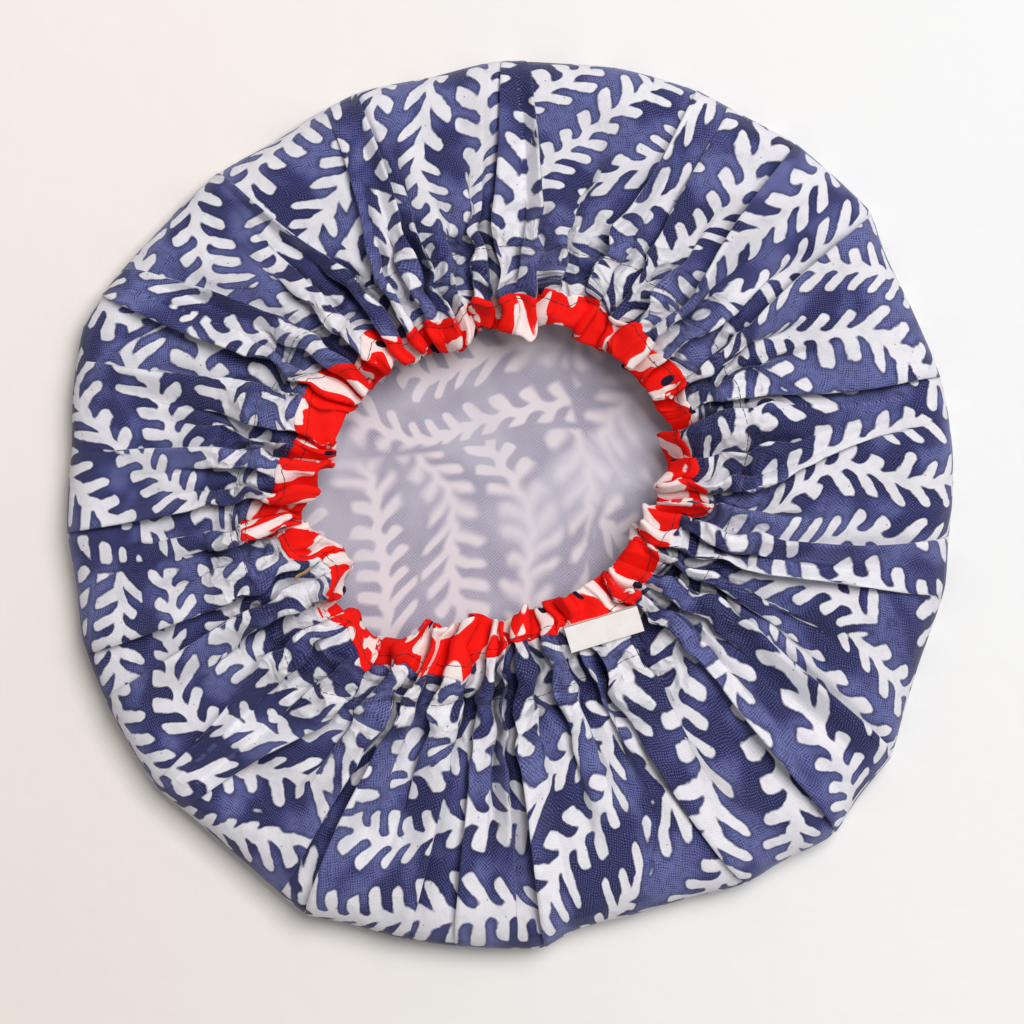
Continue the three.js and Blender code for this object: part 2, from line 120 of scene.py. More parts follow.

# %% [markdown]
# ## The creases
# Gathered cotton lies in flat plateaus whose edges lap over one another like shingles.
# A simulation gives folds where it likes; here each crease was followed from the rim to the
# mouth, so the plateaus lie where the real ones do. One row of the table is one crease: its turn at the
# rim, halfway, at the casing and at the mouth; the side that lies on top, 1 for the lower turn and -1
# for the higher; the row where it begins; its height; 1 where it folds the binding too; and the mouth's
# radius on its two sides. The short gathers begin at chance rows, so that they don't line up in a ring.

# %% Table of creases
CREASES = np.array([
    (9.0, 6.3, -0.8, -1.5, -1, 174, 3.4, 1, 54, 54), (10.2, 8.2, 2.3, 2.0, 1, 205, 3.6, 1, 54, 53),
    (11.4, 9.9, 8.6, 8.3, 1, 194, 2.6, 1, 59, 58), (12.6, 13.4, 18.4, 19.4, 1, 210, 4.4, 1, 54, 61),
    (14.0, 15.6, 20.2, 22.4, -1, 146, 4.2, 0, 61, 60.5), (24, 24.6, 25.8, 24.8, 1, 204, 3.8, 0, 60, 60),
    (29, 29.3, 29.4, 28.7, -1, 206, 3.8, 1, 60, 60), (36.6, 35.2, 32.4, 31.0, 1, 146, 4.4, 0, 60, 59.5),
    (38.6, 38.0, 36.7, 38.2, -1, 190, 4.0, 1, 59.5, 58.5),
    (43, 42.8, 43.2, 43.6, -1, 208, 3.6, 1, 58.5, 60), (49.6, 48.6, 45.8, 47.0, 1, 146, 4.4, 0, 60, 60),
    (52.6, 52.0, 51.4, 52.0, 1, 202, 3.6, 1, 61, 59), (59.2, 58.8, 57.8, 57.5, 1, 160, 2.6, 1, 59, 58),
    (61.6, 61.6, 62.2, 62.5, -1, 207, 3.8, 1, 58, 59), (64.0, 64.5, 67.0, 65.5, 1, 146, 4.2, 0, 60, 60),
    (73, 73.2, 75.2, 73.5, -1, 206, 2.6, 0, 58.5, 58),
    (87.0, 83.5, 80.6, 79.8, -1, 146, 4.2, 1, 57, 53), (88.6, 86.4, 85.6, 85.2, 1, 207, 3.0, 0, 53, 53),
    (90.2, 91.0, 92.4, 90.4, 1, 146, 4.0, 1, 53, 54), (91.8, 93.2, 94.8, 93.6, -1, 198, 3.6, 1, 54, 54),
    (97, 96.6, 97.4, 99.3, 1, 196, 4.0, 1, 55, 53.5), (103, 102.6, 102.6, 103, -1, 209, 3.2, 0, 52, 52),
    (108.4, 108, 108.4, 107, -1, 204, 4.0, 1, 50.5, 51),
    (110.4, 110.3, 111.6, 111.6, -1, 146, 3.8, 0, 50.5, 50.5),
    (112, 113.2, 115.6, 115.0, 1, 207, 3.4, 1, 51, 51),
    (113.4, 115.2, 118.8, 118.6, -1, 209, 3.4, 1, 51.5, 53),
    (114.8, 117.2, 121.6, 121.8, 1, 164, 4.6, 1, 52.5, 52),
    (132.4, 129.6, 124.6, 124.6, -1, 146, 4.4, 1, 52, 52.5),
    (133.6, 131.6, 128.4, 129.4, 1, 207, 3.8, 1, 52.5, 55),
    (134.9, 134, 133, 133, -1, 186, 2.2, 0, 55, 54.5), (138, 137.6, 137.4, 137, 1, 205, 4.0, 1, 54, 55),
    (150.4, 145.5, 141.6, 140.8, -1, 152, 4.2, 1, 55.5, 56),
    (151.7, 148.2, 146.4, 146.3, 1, 205, 4.2, 1, 57, 58.5),
    (153, 150.6, 149.4, 149.2, -1, 207, 3.4, 0, 58.5, 59),
    (154.6, 154.3, 152.4, 152.4, 1, 146, 4.6, 1, 62, 57),
    (163.8, 161, 156.8, 156.2, -1, 146, 4.0, 0, 57, 58),
    (167.4, 166, 165.6, 166.2, 1, 205, 3.6, 1, 60, 59.5),
    (170, 168.6, 168.4, 169.4, -1, 205, 3.2, 0, 59, 58),
    (175.6, 173.5, 171.8, 172.8, -1, 166, 3.2, 1, 57, 58.5),
    (179, 177.4, 176.2, 176.8, 1, 205, 3.8, 0, 62, 62),
    (183, 181.4, 180, 180.4, -1, 205, 4.2, 1, 64, 62),
    (186.2, 185.2, 183.8, 184.0, 1, 146, 4.2, 1, 65, 68),
    (189.4, 188.9, 188.6, 187.6, -1, 182, 3.0, 1, 69, 72),
    (193, 192.6, 192.2, 191.8, 1, 206, 5.0, 1, 74, 64),
    (197, 196.6, 196, 195.6, -1, 206, 3.6, 0, 62, 61.5),
    (202, 202.8, 203.2, 202.6, 1, 150, 4.8, 0, 59, 58.5),
    (208.3, 206.8, 205.4, 206.4, -1, 146, 4.6, 0, 57.5, 58),
    (214, 212.2, 211, 213.4, 1, 205, 4.0, 1, 64, 69),
    (220.6, 218.8, 215.2, 217.2, -1, 158, 4.8, 1, 69, 67),
    (222.0, 221.8, 221.4, 221.6, 1, 207, 3.6, 0, 66, 66),
    (223.4, 225.2, 226.6, 226.6, -1, 207, 3.6, 0, 66, 66),
    (224.8, 228.6, 234.8, 233.0, 1, 158, 4.8, 1, 64, 62),
    (236, 236.5, 237.2, 237.2, -1, 192, 2.6, 1, 57, 55),
    (241.4, 241.9, 243.2, 241.6, 1, 152, 5.0, 0, 52, 51.5),
    (245.2, 243.9, 245.2, 245.8, -1, 146, 6.8, 1, 51, 52),
    (249.4, 249, 248.8, 248.8, 1, 207, 3.8, 0, 49, 47),
    (253, 253, 252.2, 252.4, -1, 187, 4.2, 1, 47, 46),
    (258.0, 259, 259.6, 258.6, 1, 146, 4.2, 1, 46, 45),
    (263.8, 263.5, 263.4, 264.4, -1, 150, 3.8, 1, 45, 44),
    (268, 267.8, 267.6, 267.8, 1, 205, 4.0, 0, 43.5, 44),
    (272.2, 271.6, 270.8, 271.2, 1, 162, 6.2, 1, 44, 44),
    (275.2, 274.3, 273.2, 275.2, -1, 146, 4.8, 1, 44, 43.5),
    (280, 279.6, 279, 280.8, 1, 211, 3.2, 1, 42, 43.5),
    (285, 285, 284.8, 284.8, -1, 194, 2.4, 1, 43, 43), (290.4, 290, 290, 289.6, 1, 208, 2.8, 0, 43, 41),
    (296, 295, 294.6, 294, -1, 212, 2.2, 1, 41.5, 41.8),
    (301.6, 298.8, 298.4, 300.6, -1, 146, 3.2, 0, 42.5, 42.5),
    (306.6, 306, 309.4, 310.4, 1, 192, 3.4, 0, 44.5, 44.5),
    (313.8, 315.8, 318.8, 316.6, -1, 146, 4.4, 1, 45.5, 46),
    (318.6, 319.6, 322.8, 320.6, 1, 209, 4.0, 1, 47, 47),
    (322, 323.6, 326.6, 324.8, -1, 207, 3.6, 0, 47.5, 48),
    (325.4, 328.8, 332.4, 328.8, 1, 146, 4.6, 1, 48, 48),
    (330, 331.8, 334.8, 332.8, -1, 194, 3.6, 0, 47.5, 47.5),
    (334, 336, 337.6, 336.8, 1, 192, 3.6, 0, 47, 46.5),
    (346.2, 343.6, 340.2, 341.2, -1, 156, 4.4, 1, 46, 49),
    (350, 346.6, 344.4, 346.0, -1, 198, 3.4, 0, 50, 51),
    (354.2, 350.2, 349.4, 351.0, 1, 150, 4.4, 1, 53, 56),
    (357.4, 355.0, 354.6, 355.2, 1, 206, 4.0, 1, 57, 54),
])
CREASES[0, :4] += 360
CREASES = np.roll(CREASES, -1, axis=0)
crease_side, crease_start, crease_height, crease_reach = CREASES[:, 4:8].T
mouth_before, mouth_after = CREASES[:, 8:].T
GATHER_START = 201
GATHER_SPREAD = 13
LONG_START = 180
crease_count = len(CREASES)
crease_luck = np.random.default_rng(3).uniform(0, 1, crease_count)
crease_start = np.where(crease_start > GATHER_START, crease_start - GATHER_SPREAD * crease_luck, crease_start)
is_long = crease_start < LONG_START
print("creases:", crease_count, "of which from the rim:", int(is_long.sum()))

# %% [markdown]
# ## Rows of the cut cloth
# A row is a circle on the flat cloth. The crown lies flat, the side turns up as half an ellipse, and the
# rest comes back over the top to the casing seam, the casing and the bound edge.
# The rows add up to the radius that the cloth was cut to, so the flat size is the real one.

# %% Lengths of the way from the middle of the crown to the mouth
SIDE_ROUNDING = 14.0
SHOULDER_HEIGHT = 17.6
CASING_HEIGHT = 21.6
BINDING_WIDTH = 11.0
CASING_WIDTH = 15.5
CLOTH_RADIUS = 247.0
CROWN_ROW = 133.0
SHOULDER_ROW = 170.0
BINDING_ROW = CLOTH_RADIUS - BINDING_WIDTH
SEAM_ROW = BINDING_ROW - CASING_WIDTH

rows = np.concatenate([
    np.array([4.0, 24.0, 52.0, 84.0, 112.0, CROWN_ROW]),
    np.linspace(138.0, SHOULDER_ROW, 8),
    np.linspace(174.5, 204.0, 10),
    np.linspace(206.5, SEAM_ROW - 3.0, 6),
    np.array([SEAM_ROW - 1.3, SEAM_ROW]),
    np.linspace(SEAM_ROW + 1.3, BINDING_ROW, 10),
    np.linspace(238.0, CLOTH_RADIUS, 7),
])
print("rows:", len(rows), "cloth radius in mm:", CLOTH_RADIUS, "casing seam at row", SEAM_ROW)


def ease(x):
    """Smooth step: three x squared less two x cubed, held between 0 and 1."""
    x = np.clip(x, 0, 1)
    return x * x * (3 - 2 * x)


def ramp(row, start, length):
    """Smooth step that begins at the row start and takes that many mm of the way. The spans of rows
    that are named below, each a first row and a length, are given to it."""
    return ease((row - start) / length)


def mix(a, b, share):
    """A straight blend from a to b."""
    return a + (b - a) * share


# %% [markdown]
# ## Where every crease runs
# Between its four chosen turns a crease bends smoothly. Neighbours that come too close are pushed apart a
# little, row by row, because each needs room for its own return of cloth.

# %% Turns of all creases at all rows
CREASE_STATIONS = np.array([152.0, 190.0, SEAM_ROW, 241.0])
RADIUS_ROWS, RADIUS_THERE = [0, 150, CLOTH_RADIUS], [150, 150, 62]
LEAST_ROOM = 2.4
PUSHES = 40


def crease_turns(at_rows):
    """Turn of each crease at each row, in radians.
    A cubic through the four stations with the slopes of its neighbours, then gaps under the least
    room are shared out between the two creases, over and over."""
    turns = CREASES[:, :4]
    slopes = np.gradient(turns, CREASE_STATIONS, axis=1)
    place = np.clip(at_rows, CREASE_STATIONS[0], CREASE_STATIONS[-1])
    piece = np.clip(np.searchsorted(CREASE_STATIONS, place, side="right") - 1, 0, 2)
    width = CREASE_STATIONS[piece + 1] - CREASE_STATIONS[piece]
    t = (place - CREASE_STATIONS[piece]) / width
    pull_out, pull_in = slopes[:, piece] * width, slopes[:, piece + 1] * width
    found = cubic(t, turns[:, piece], turns[:, piece + 1], pull_out, pull_in).T
    about_radius = np.interp(at_rows, RADIUS_ROWS, RADIUS_THERE)
    least = np.degrees(LEAST_ROOM / about_radius)[:, None]
    for _ in range(PUSHES):
        gaps = np.roll(found, -1, axis=1) - found
        gaps[:, -1] += 360
        short = np.maximum(least - gaps, 0) / 2
        found = found - short + np.roll(short, 1, axis=1)
    return np.radians(found)


rim_turns = crease_turns(CREASE_STATIONS[:1])[0]
rim_turns_after = np.append(rim_turns[1:], rim_turns[0] + 2 * np.pi)
plateau_middle = (rim_turns + rim_turns_after) / 2
print("narrowest plateau at the rim in degrees:", np.degrees(np.diff(rim_turns)).min().round(2))

# %% [markdown]
# ## The way of the cloth in space
# The mouth is not round: each plateau's end sits at its own radius. A smoothed copy of that edge leads
# the rows in from the side, and only the casing and the binding take the stepped one.
# Two heights of the layers inside go with it: the lining's own, and the highest layer under the cotton,
# which later keeps the bottoms of the folds from sinking into the lining or the elastic.

# %% Radius and height of a place on the cloth
# turn in degrees, and mm by which the mouth's edge lies further out than first read
MOUTH_TRIM = np.array([
    (0, -3), (10, -2.4), (20, -1.2), (30, -1.7), (45, -2.8), (52, -1.2), (60, -1.4), (68, -3), (76, -4),
    (82, -1), (95, -1.4), (110, -1.2), (125, -0.8), (140, -0.3), (150, -1), (160, -0.4), (166, -2),
    (174, -0.2), (183, -2.4), (192, 1.5), (200, -1.2), (213, -2), (225, -0.5), (231, 1.6), (237, 3),
    (243, -1.8), (250, 0.2), (262, 0.2), (268, 2), (274, -0.5), (280, -1.6), (290, 0.4), (300, 0),
    (310, -0.8), (333, -1.6), (344, -1), (350, -7.5), (356, 0.4),
])
edge_turns = np.radians(CREASES[:, 3])
trim = np.interp(CREASES[:, 3] % 360, MOUTH_TRIM[:, 0], MOUTH_TRIM[:, 1], period=360)
mouth_before, mouth_after = mouth_before + trim, mouth_after + trim
edge_middle = (mouth_before + mouth_after) / 2
# turn in degrees, and the share of the binding's width that is seen from above
BINDING_LIE = np.array([
    (0, 1.25), (8, 0.75), (21, 0.7), (33, 0.95), (45, 1.05), (57, 0.85), (66, 1), (76, 1.1), (99, 0.85),
    (112, 0.85), (120, 0.7), (130, 1.2), (141, 0.75), (150, 1.5), (156, 1.3), (168, 1.1), (178, 1.3),
    (184, 1.5), (190, 1.2), (197, 1), (203, 0.62), (209, 0.5), (216, 0.45), (228, 0.5), (234, 0.8),
    (242, 1.35), (250, 1.7), (257, 1.8), (262, 1.05), (276, 0.75), (291, 0.85), (299, 1.05),
    (306, 1.25), (315, 1.2), (324, 1), (340, 0.75), (349, 1.2),
])
SMOOTHING_DEGREES = 9.0
REACH = 30
degree_turns = np.linspace(0, 2 * np.pi, 360, endpoint=False)
stepped = np.interp(degree_turns, edge_turns, edge_middle, period=2 * np.pi)
spread = np.exp(-0.5 * (np.arange(-REACH, REACH + 1) / SMOOTHING_DEGREES) ** 2)
wrapped_edge = np.concatenate([stepped[-REACH:], stepped, stepped[:REACH]])
smooth_edge = np.convolve(wrapped_edge, spread / spread.sum(), "valid")
LABEL_TURN = np.radians(305.5)
CASING_SWELL = 1.3
LABEL_SWELL = 0.8
LABEL_SWELL_WIDTH = 0.32
LABEL_SWELL_SPAN = (200, 25)
SLOPE_POWER = 1.6
HANG_LEAD = 2


def smooth_mouth(turn):
    """The mouth's radius with its steps smoothed away."""
    return np.interp(turn, degree_turns, smooth_edge, period=2 * np.pi)


def way_share(row, first, last):
    """How far a row has come from the first to the last, held between 0 and 1."""
    return np.clip((row - first) / (last - first), 0, 1)


def side_lean(row):
    """Angle in radians that the round side has turned through, from 0 at the crown to pi on top."""
    return way_share(row, CROWN_ROW, SHOULDER_ROW) * np.pi


def binding_lie(turn):
    """Share of the binding's width that is seen from above: less where its edge hangs down."""
    return np.interp(np.degrees(turn) % 360, BINDING_LIE[:, 0], BINDING_LIE[:, 1], period=360)


def cloth_radius(row, turn, mouth):
    """Radius in mm: straight over the crown, half an ellipse at the side, straight to the seam, and
    then the casing and the binding at their own widths outside the mouth's edge."""
    flat = outline_radius(turn) - SIDE_ROUNDING
    seam = smooth_mouth(turn) + BINDING_WIDTH + CASING_WIDTH
    bound = mouth + BINDING_WIDTH * binding_lie(turn)
    round_side = flat + SIDE_ROUNDING * np.sin(side_lean(row))
    radius = np.where(row <= CROWN_ROW, flat * row / CROWN_ROW, round_side)
    over = way_share(row, SHOULDER_ROW, SEAM_ROW)
    radius = np.where(row > SHOULDER_ROW, mix(flat, seam, over), radius)
    casing = way_share(row, SEAM_ROW, BINDING_ROW)
    radius = np.where(row > SEAM_ROW, mix(seam, bound, casing), radius)
    bind = (row - BINDING_ROW) / BINDING_WIDTH
    return np.where(row > BINDING_ROW, mix(bound, mouth, bind), radius)


def cloth_height(row, turn):
    """Height in mm of the lowest lying cloth: flat under the crown, half an ellipse at the side, a
    slope that steepens towards the casing, and a round swell where the elastic is."""
    side = SHOULDER_HEIGHT / 2 * (1 - np.cos(side_lean(row)))
    slope = (CASING_HEIGHT - SHOULDER_HEIGHT) * way_share(row, SHOULDER_ROW, SEAM_ROW) ** SLOPE_POWER
    swell = CASING_SWELL * np.sin(np.pi * way_share(row, SEAM_ROW, BINDING_ROW))
    away = np.mod(turn - LABEL_TURN + np.pi, 2 * np.pi) - np.pi
    under_label = LABEL_SWELL * np.exp(-((away / LABEL_SWELL_WIDTH) ** 2)) * ramp(row, *LABEL_SWELL_SPAN)
    hang = BINDING_WIDTH * np.sqrt(1 - np.minimum(binding_lie(turn), 1) ** 2)
    hang = hang * np.clip((row - BINDING_ROW + HANG_LEAD) / (BINDING_WIDTH + HANG_LEAD), 0, 1)
    return side + slope + swell + under_label - hang


def round_mouth(radius, turn, height):
    """Points in mm, as [row, column, 3], at a radius and a turn round the middle of the mouth."""
    return np.stack([
        MOUTH_CENTRE[0] + radius * np.cos(turn), MOUTH_CENTRE[1] + radius * np.sin(turn), height,
    ], axis=2)


print("smoothed mouth radius in mm:", smooth_edge.min().round(1), "to", smooth_edge.max().round(1))

# %% Heights of the layers inside
LINING_INSET = 1.1
LINING_DROP = 3.0
LINING_SAG = 3.4
ELASTIC_ROW = 228.5
ELASTIC_DROP = 4.9
ELASTIC_HALF = 5
SAG_SPAN, LIFT_SPAN = (200, 16), (234, 8)
FREE_SIDE, FREE_SPAN, FREE_DROP = 196, 12, 10
FREE_BINDING = (236, 4)


def lining_rise(row):
    """Height in mm of the lining over the cotton's lowest way: inside it at the crown and the side,
    under it on top, and back up to the binding."""
    on_top = -LINING_DROP - LINING_SAG * ramp(row, *SAG_SPAN)
    under = mix(LINING_INSET, on_top, (1 - np.cos(side_lean(row))) / 2)
    return under + LINING_SAG * ramp(row, *LIFT_SPAN)


def layers_under(row):
    """Height in mm of the highest layer under the cotton: the lining, or in the casing the elastic.
    It falls away at the side and at the binding, where the cotton has the layers beside it."""
    elastic = -ELASTIC_DROP - 2 * FREE_DROP * ease((np.abs(row - ELASTIC_ROW) - ELASTIC_HALF) / 3)
    highest = np.maximum(lining_rise(row), elastic)
    highest = highest - FREE_DROP * ease((FREE_SIDE - row) / FREE_SPAN)
    return highest - FREE_DROP * ramp(row, *FREE_BINDING)


print("highest layer under the cotton's way over the elastic in mm:", layers_under(ELASTIC_ROW).round(2))

# %% [markdown]
# ## The folded cloth as one surface
# Each crease takes seven columns: the rounded top edge, the return under it and the rounded turn back.
# Before the crease begins those columns lie open side by side; past it they fold into a flat Z.
# Between creases a plateau runs from its left edge to its right edge, low where it goes under its
# neighbour and high where it laps over, and bulges a little, as cloth held only at its edges does.
# Under each lapping edge the cloth dips into a trench, which gives the dark gap that a fold shows.
# The print is kept in the flat cut: each plateau carries its own piece of it at true size, and what the
# folds hide is missing from view, as on the real cloth. Where a crease isn't folded yet it can hide
# nothing, so the cloth that it would hide is handed on to folded creases nearby.

# %% Sizes and chances of the folds
OPEN_SHARE = 0.13
MOST_OPEN = 1.5
OVERLAP_SHARE = 0.44
MOST_OVERLAP = 7.5
FOLD_RUN = 16
LONG_RUN, SHORT_RUN = 42, 26
LESS_HEIGHT = 0.25
CASING_DIP = 2.3
LESS_DIP = 0.6
GATHER_BULGE = 1.1
LESS_BULGE = 0.8
BULGE_LEAST, BULGE_WIDTH, BULGE_MOST = 0.25, 11, 1.5
EDGE_ROUND = 0.6
EDGE_NEAR, EDGE_FAR = 0.13, 1.87
FOLD_LIFT = 1.35
GATHER_LIFT = 1.7
LOW_SHARE = 0.6
TRENCH = 1.7
TRENCH_SHARE = 0.3
LESS_TRENCH = 0.25
CURVE_SHARE = 0.55
TENT_SHARE = 0.65
PRINT_LEAD, PRINT_RUN = 14, 34
LEAST = 0.02  # keeps quotients from growing without end
PLATEAU_SHARES = np.array([0.16, 0.32, 0.48, 0.64, 0.8])
MOUTH_SHARES = np.linspace(0.14, 0.86, len(PLATEAU_SHARES))
FOLD_STEPS = np.linspace(0, 1, 7)
print("columns of a crease and of a plateau:", len(FOLD_STEPS), len(PLATEAU_SHARES))

# %% Spans of rows and chances of the folds
# each span is the first row and the length in mm over which something grows from none to full
PRINT_SPAN = (134, 22)
BULGE_SPAN = (150, 50)
TENT_SPAN = (195, 15)
GATHER_SPAN = (202, 16)
DIP_SPAN = (203, 14)
LIFT_CHANGE = (205, 12)
LET_GO_SPAN = (226, 10)
LESS_HEIGHT_SPAN = (228, 10)
LESS_DIP_SPAN = (230, 10)
LESS_BULGE_SPAN = (232, 8)
TILT_SPAN = (234, 13)
random_cloth = np.random.default_rng(7)
plateau_bulge = random_cloth.uniform(0.1, 1.0, crease_count)
plateau_ridge = random_cloth.uniform(0.3, 0.7, crease_count)
edge_tilt = random_cloth.uniform(-2.4, 1.3, crease_count)
WAVES = 26
WAVE_BASE = 16
wave_count = random_cloth.integers(14, 90, WAVES)
wave_lean = random_cloth.uniform(-0.10, 0.10, WAVES)
wave_phase = random_cloth.uniform(0, 2 * np.pi, WAVES)
print("bulges of the plateaus in mm:", plateau_bulge.min().round(2), "to", plateau_bulge.max().round(2))


# %% Wrinkles, crumples and hidden cloth
LENGTH_SPREAD = (0.75, 1.5)
CUT_OFF = 1.2
HANDED_ON = 1.5


def wrinkles(turn, row):
    """Sum of sine waves that run mostly along the folds, each with its own count, lean and phase."""
    total = np.zeros(np.broadcast(turn, row).shape)
    for count, lean, phase in zip(wave_count, wave_lean, wave_phase):
        total += np.sin(count * turn + lean * row + phase) * WAVE_BASE / count
    return total / np.sqrt(WAVES)


def crumple(place, size, seed, waves=9):
    """Relief of creased cloth on the flat cut, from -1 to 1: sharp ridges about one size apart.
    Sine waves in every direction are summed, and one less twice the sum's size gives the ridges."""
    chance = np.random.default_rng(seed)
    total = np.zeros(place.shape[:-1])
    for _ in range(waves):
        way = chance.uniform(0, 2 * np.pi)
        length = size * chance.uniform(*LENGTH_SPREAD)
        along = place[..., 0] * np.cos(way) + place[..., 1] * np.sin(way)
        total += np.sin(2 * np.pi * along / length + chance.uniform(0, 2 * np.pi))
    return 1 - 2 * np.abs(np.clip(total / np.sqrt(waves), -CUT_OFF, CUT_OFF))


def hidden_cloth(gaps, fold):
    """How far each plateau's print is shifted, in radians, so that only folded creases hide cloth.
    A crease hides a gap of the print. What an open crease would hide goes to folded ones nearby, by
    weights that fall off with distance; the shifts are the running sum of the changes."""
    number = np.arange(crease_count)
    apart = np.abs(number[:, None] - number[None, :])
    weight = np.exp(-np.minimum(apart, crease_count - apart) / HANDED_ON)
    total = fold @ weight
    open_gap = gaps * (1 - fold)
    moved = open_gap * total / (total + LEAST)
    received = fold * ((moved / np.maximum(total, 1e-9)) @ weight)
    shift = np.cumsum(received - moved, axis=1)
    return shift - shift.mean(axis=1, keepdims=True)


print("wrinkle at turn 0 on the shoulder in mm:", wrinkles(0.0, SHOULDER_ROW).round(2))


# %% [markdown]
# The columns come in four steps: the sizes of every crease at every row, the seven columns of each
# crease, the five of each plateau, and where the print lies on them.

# %% Sizes of the folds at every row
def to_next(values):
    """What belongs to the next crease, set beside this one."""
    return np.roll(values, -1, axis=1)


def fold_sizes(at_rows):
    """What the columns are made from, as [row, crease], lengths in mm.
    Fold goes from 0 to 1 as a crease closes, and kept from 1 to 0 where it opens again. Level and low
    are the heights of its two sides, before and after those in front of it and behind it, width the
    way to the next crease, start and next_end where the plateau stops short of the two creases."""
    row = at_rows[:, None]
    turns = crease_turns(at_rows)
    radius = cloth_radius(row, turns, smooth_mouth(turns))
    gap = np.concatenate([turns[:, 1:], turns[:, :1] + 2 * np.pi], axis=1) - turns
    width = gap * (radius + to_next(radius)) / 2
    room = np.minimum(width, np.roll(width, 1, axis=1))
    kept = 1 - (1 - crease_reach) * ramp(row, *LET_GO_SPAN)
    fold = ramp(row, crease_start, FOLD_RUN) * kept
    lift = np.where(is_long, FOLD_LIFT, mix(FOLD_LIFT, GATHER_LIFT, ramp(row, *LIFT_CHANGE)))
    height = lift * crease_height * ramp(row, crease_start, np.where(is_long, LONG_RUN, SHORT_RUN))
    height = height * (1 - LESS_HEIGHT * ramp(row, *LESS_HEIGHT_SPAN))
    dip = CASING_DIP * ramp(row, *DIP_SPAN) * (1 - LESS_DIP * ramp(row, *LESS_DIP_SPAN))
    level = mix(LOW_SHARE * height, height, kept)
    low = LOW_SHARE * height * (1 - kept) - dip * kept
    overlap = np.minimum(OVERLAP_SHARE * room, MOST_OVERLAP)
    opened = np.minimum(OPEN_SHARE * room, MOST_OPEN)
    edge = np.minimum(EDGE_ROUND, np.maximum(level - low, LEAST) / 4)
    return SimpleNamespace(
        row=row, turns=turns, radius=radius, width=width, kept=kept, fold=fold, level=level, low=low,
        before=np.where(crease_side > 0, level, low), after=np.where(crease_side > 0, low, level),
        overlap=overlap, opened=opened, edge=edge,
        trench=TRENCH * (1 - LESS_TRENCH * ramp(row, *LIFT_CHANGE)),
        start=mix(opened, np.where(crease_side < 0, edge, edge - overlap), fold),
        next_end=mix(-opened, np.where(crease_side > 0, -edge, overlap - edge), fold),
    )


widest_overlap = fold_sizes(rows).overlap.max()
print("widest overlap of a fold in mm:", widest_overlap.round(1))


# %% The seven columns of a crease
def crease_columns(at):
    """Sideways places from the crease and rises, as [row, crease, column].
    Open, the columns lie side by side; folded, they run over a rounded edge, back under it and round
    again, in a flat Z whose lower side sinks into the trench."""
    side = crease_side[:, None]
    e, o, w = at.edge[..., None], at.overlap[..., None], at.opened[..., None]
    top, bottom = at.level[..., None], at.low[..., None]
    z_steps = [top - EDGE_NEAR * e, top - e, top - EDGE_FAR * e, (top + bottom) / 2,
               bottom + EDGE_FAR * e, bottom + e, bottom + EDGE_NEAR * e]
    x_steps = [-0.5 * e, 0 * e, -0.5 * e, -0.5 * o, -o + 0.5 * e, -o, -o + 0.5 * e]
    folded_x, folded_z = np.concatenate(x_steps, axis=2), np.concatenate(z_steps, axis=2)
    folded_x = np.where(side > 0, folded_x, -folded_x[..., ::-1])
    folded_z = np.where(side > 0, folded_z, folded_z[..., ::-1])
    under_edge = (top - folded_z) / np.maximum(top - bottom, LEAST)
    folded_z = folded_z - at.trench[..., None] * ease(under_edge)
    open_x = w * (2 * FOLD_STEPS - 1)
    open_z = mix(at.before[..., None], at.after[..., None], ease(FOLD_STEPS))
    crease_z = mix(open_z, folded_z, at.fold[..., None])
    leaning = mix(np.roll(edge_tilt, 1)[:, None], edge_tilt[:, None], ease(FOLD_STEPS))
    crease_z = crease_z + ramp(at.row, *TILT_SPAN)[..., None] * leaning
    return mix(open_x, folded_x, at.fold[..., None]), crease_z


# %% The five columns of a plateau
def plateau_columns(at):
    """Sideways places from the crease before it and rises, as [row, crease, column].
    The height climbs from one crease to the next, halfway between a smooth step and a parabola, with
    a bulge that goes over from a parabola to a tent in the gathers. The trenches dip its ends."""
    end = at.width + to_next(at.next_end)
    place = mix(at.start[..., None], end[..., None], PLATEAU_SHARES)
    t = np.clip(place / at.width[..., None], 0, 1)
    low_end, high_end = at.after[..., None], to_next(at.before)[..., None]
    climb = mix(ease(t), np.where(low_end < high_end, t**2, 1 - (1 - t) ** 2), CURVE_SHARE)
    bulge = BULGE_LEAST + plateau_bulge * np.minimum(at.width / BULGE_WIDTH, BULGE_MOST)
    in_gathers = ramp(at.row, *GATHER_SPAN) * (1 - LESS_BULGE * ramp(at.row, *LESS_BULGE_SPAN))
    bulge = bulge * ramp(at.row, *BULGE_SPAN) + GATHER_BULGE * (0.5 + plateau_bulge) * in_gathers
    start_under, end_under = at.fold * (crease_side > 0), to_next(at.fold * (crease_side < 0))
    near_start = np.clip(1 - t / TRENCH_SHARE, 0, 1) ** 2 * start_under[..., None]
    near_end = np.clip(1 - (1 - t) / TRENCH_SHARE, 0, 1) ** 2 * end_under[..., None]
    plateau_z = mix(low_end, high_end, climb) - at.trench[..., None] * (near_start + near_end)
    ridge = plateau_ridge[:, None]
    tent = np.minimum(t / ridge, (1 - t) / (1 - ridge))
    swell = mix(4 * t * (1 - t), tent, TENT_SHARE * ramp(at.row, *TENT_SPAN)[..., None])
    plateau_z = plateau_z + bulge[..., None] * swell
    return place, plateau_z + ramp(at.row, *TILT_SPAN)[..., None] * edge_tilt[:, None]


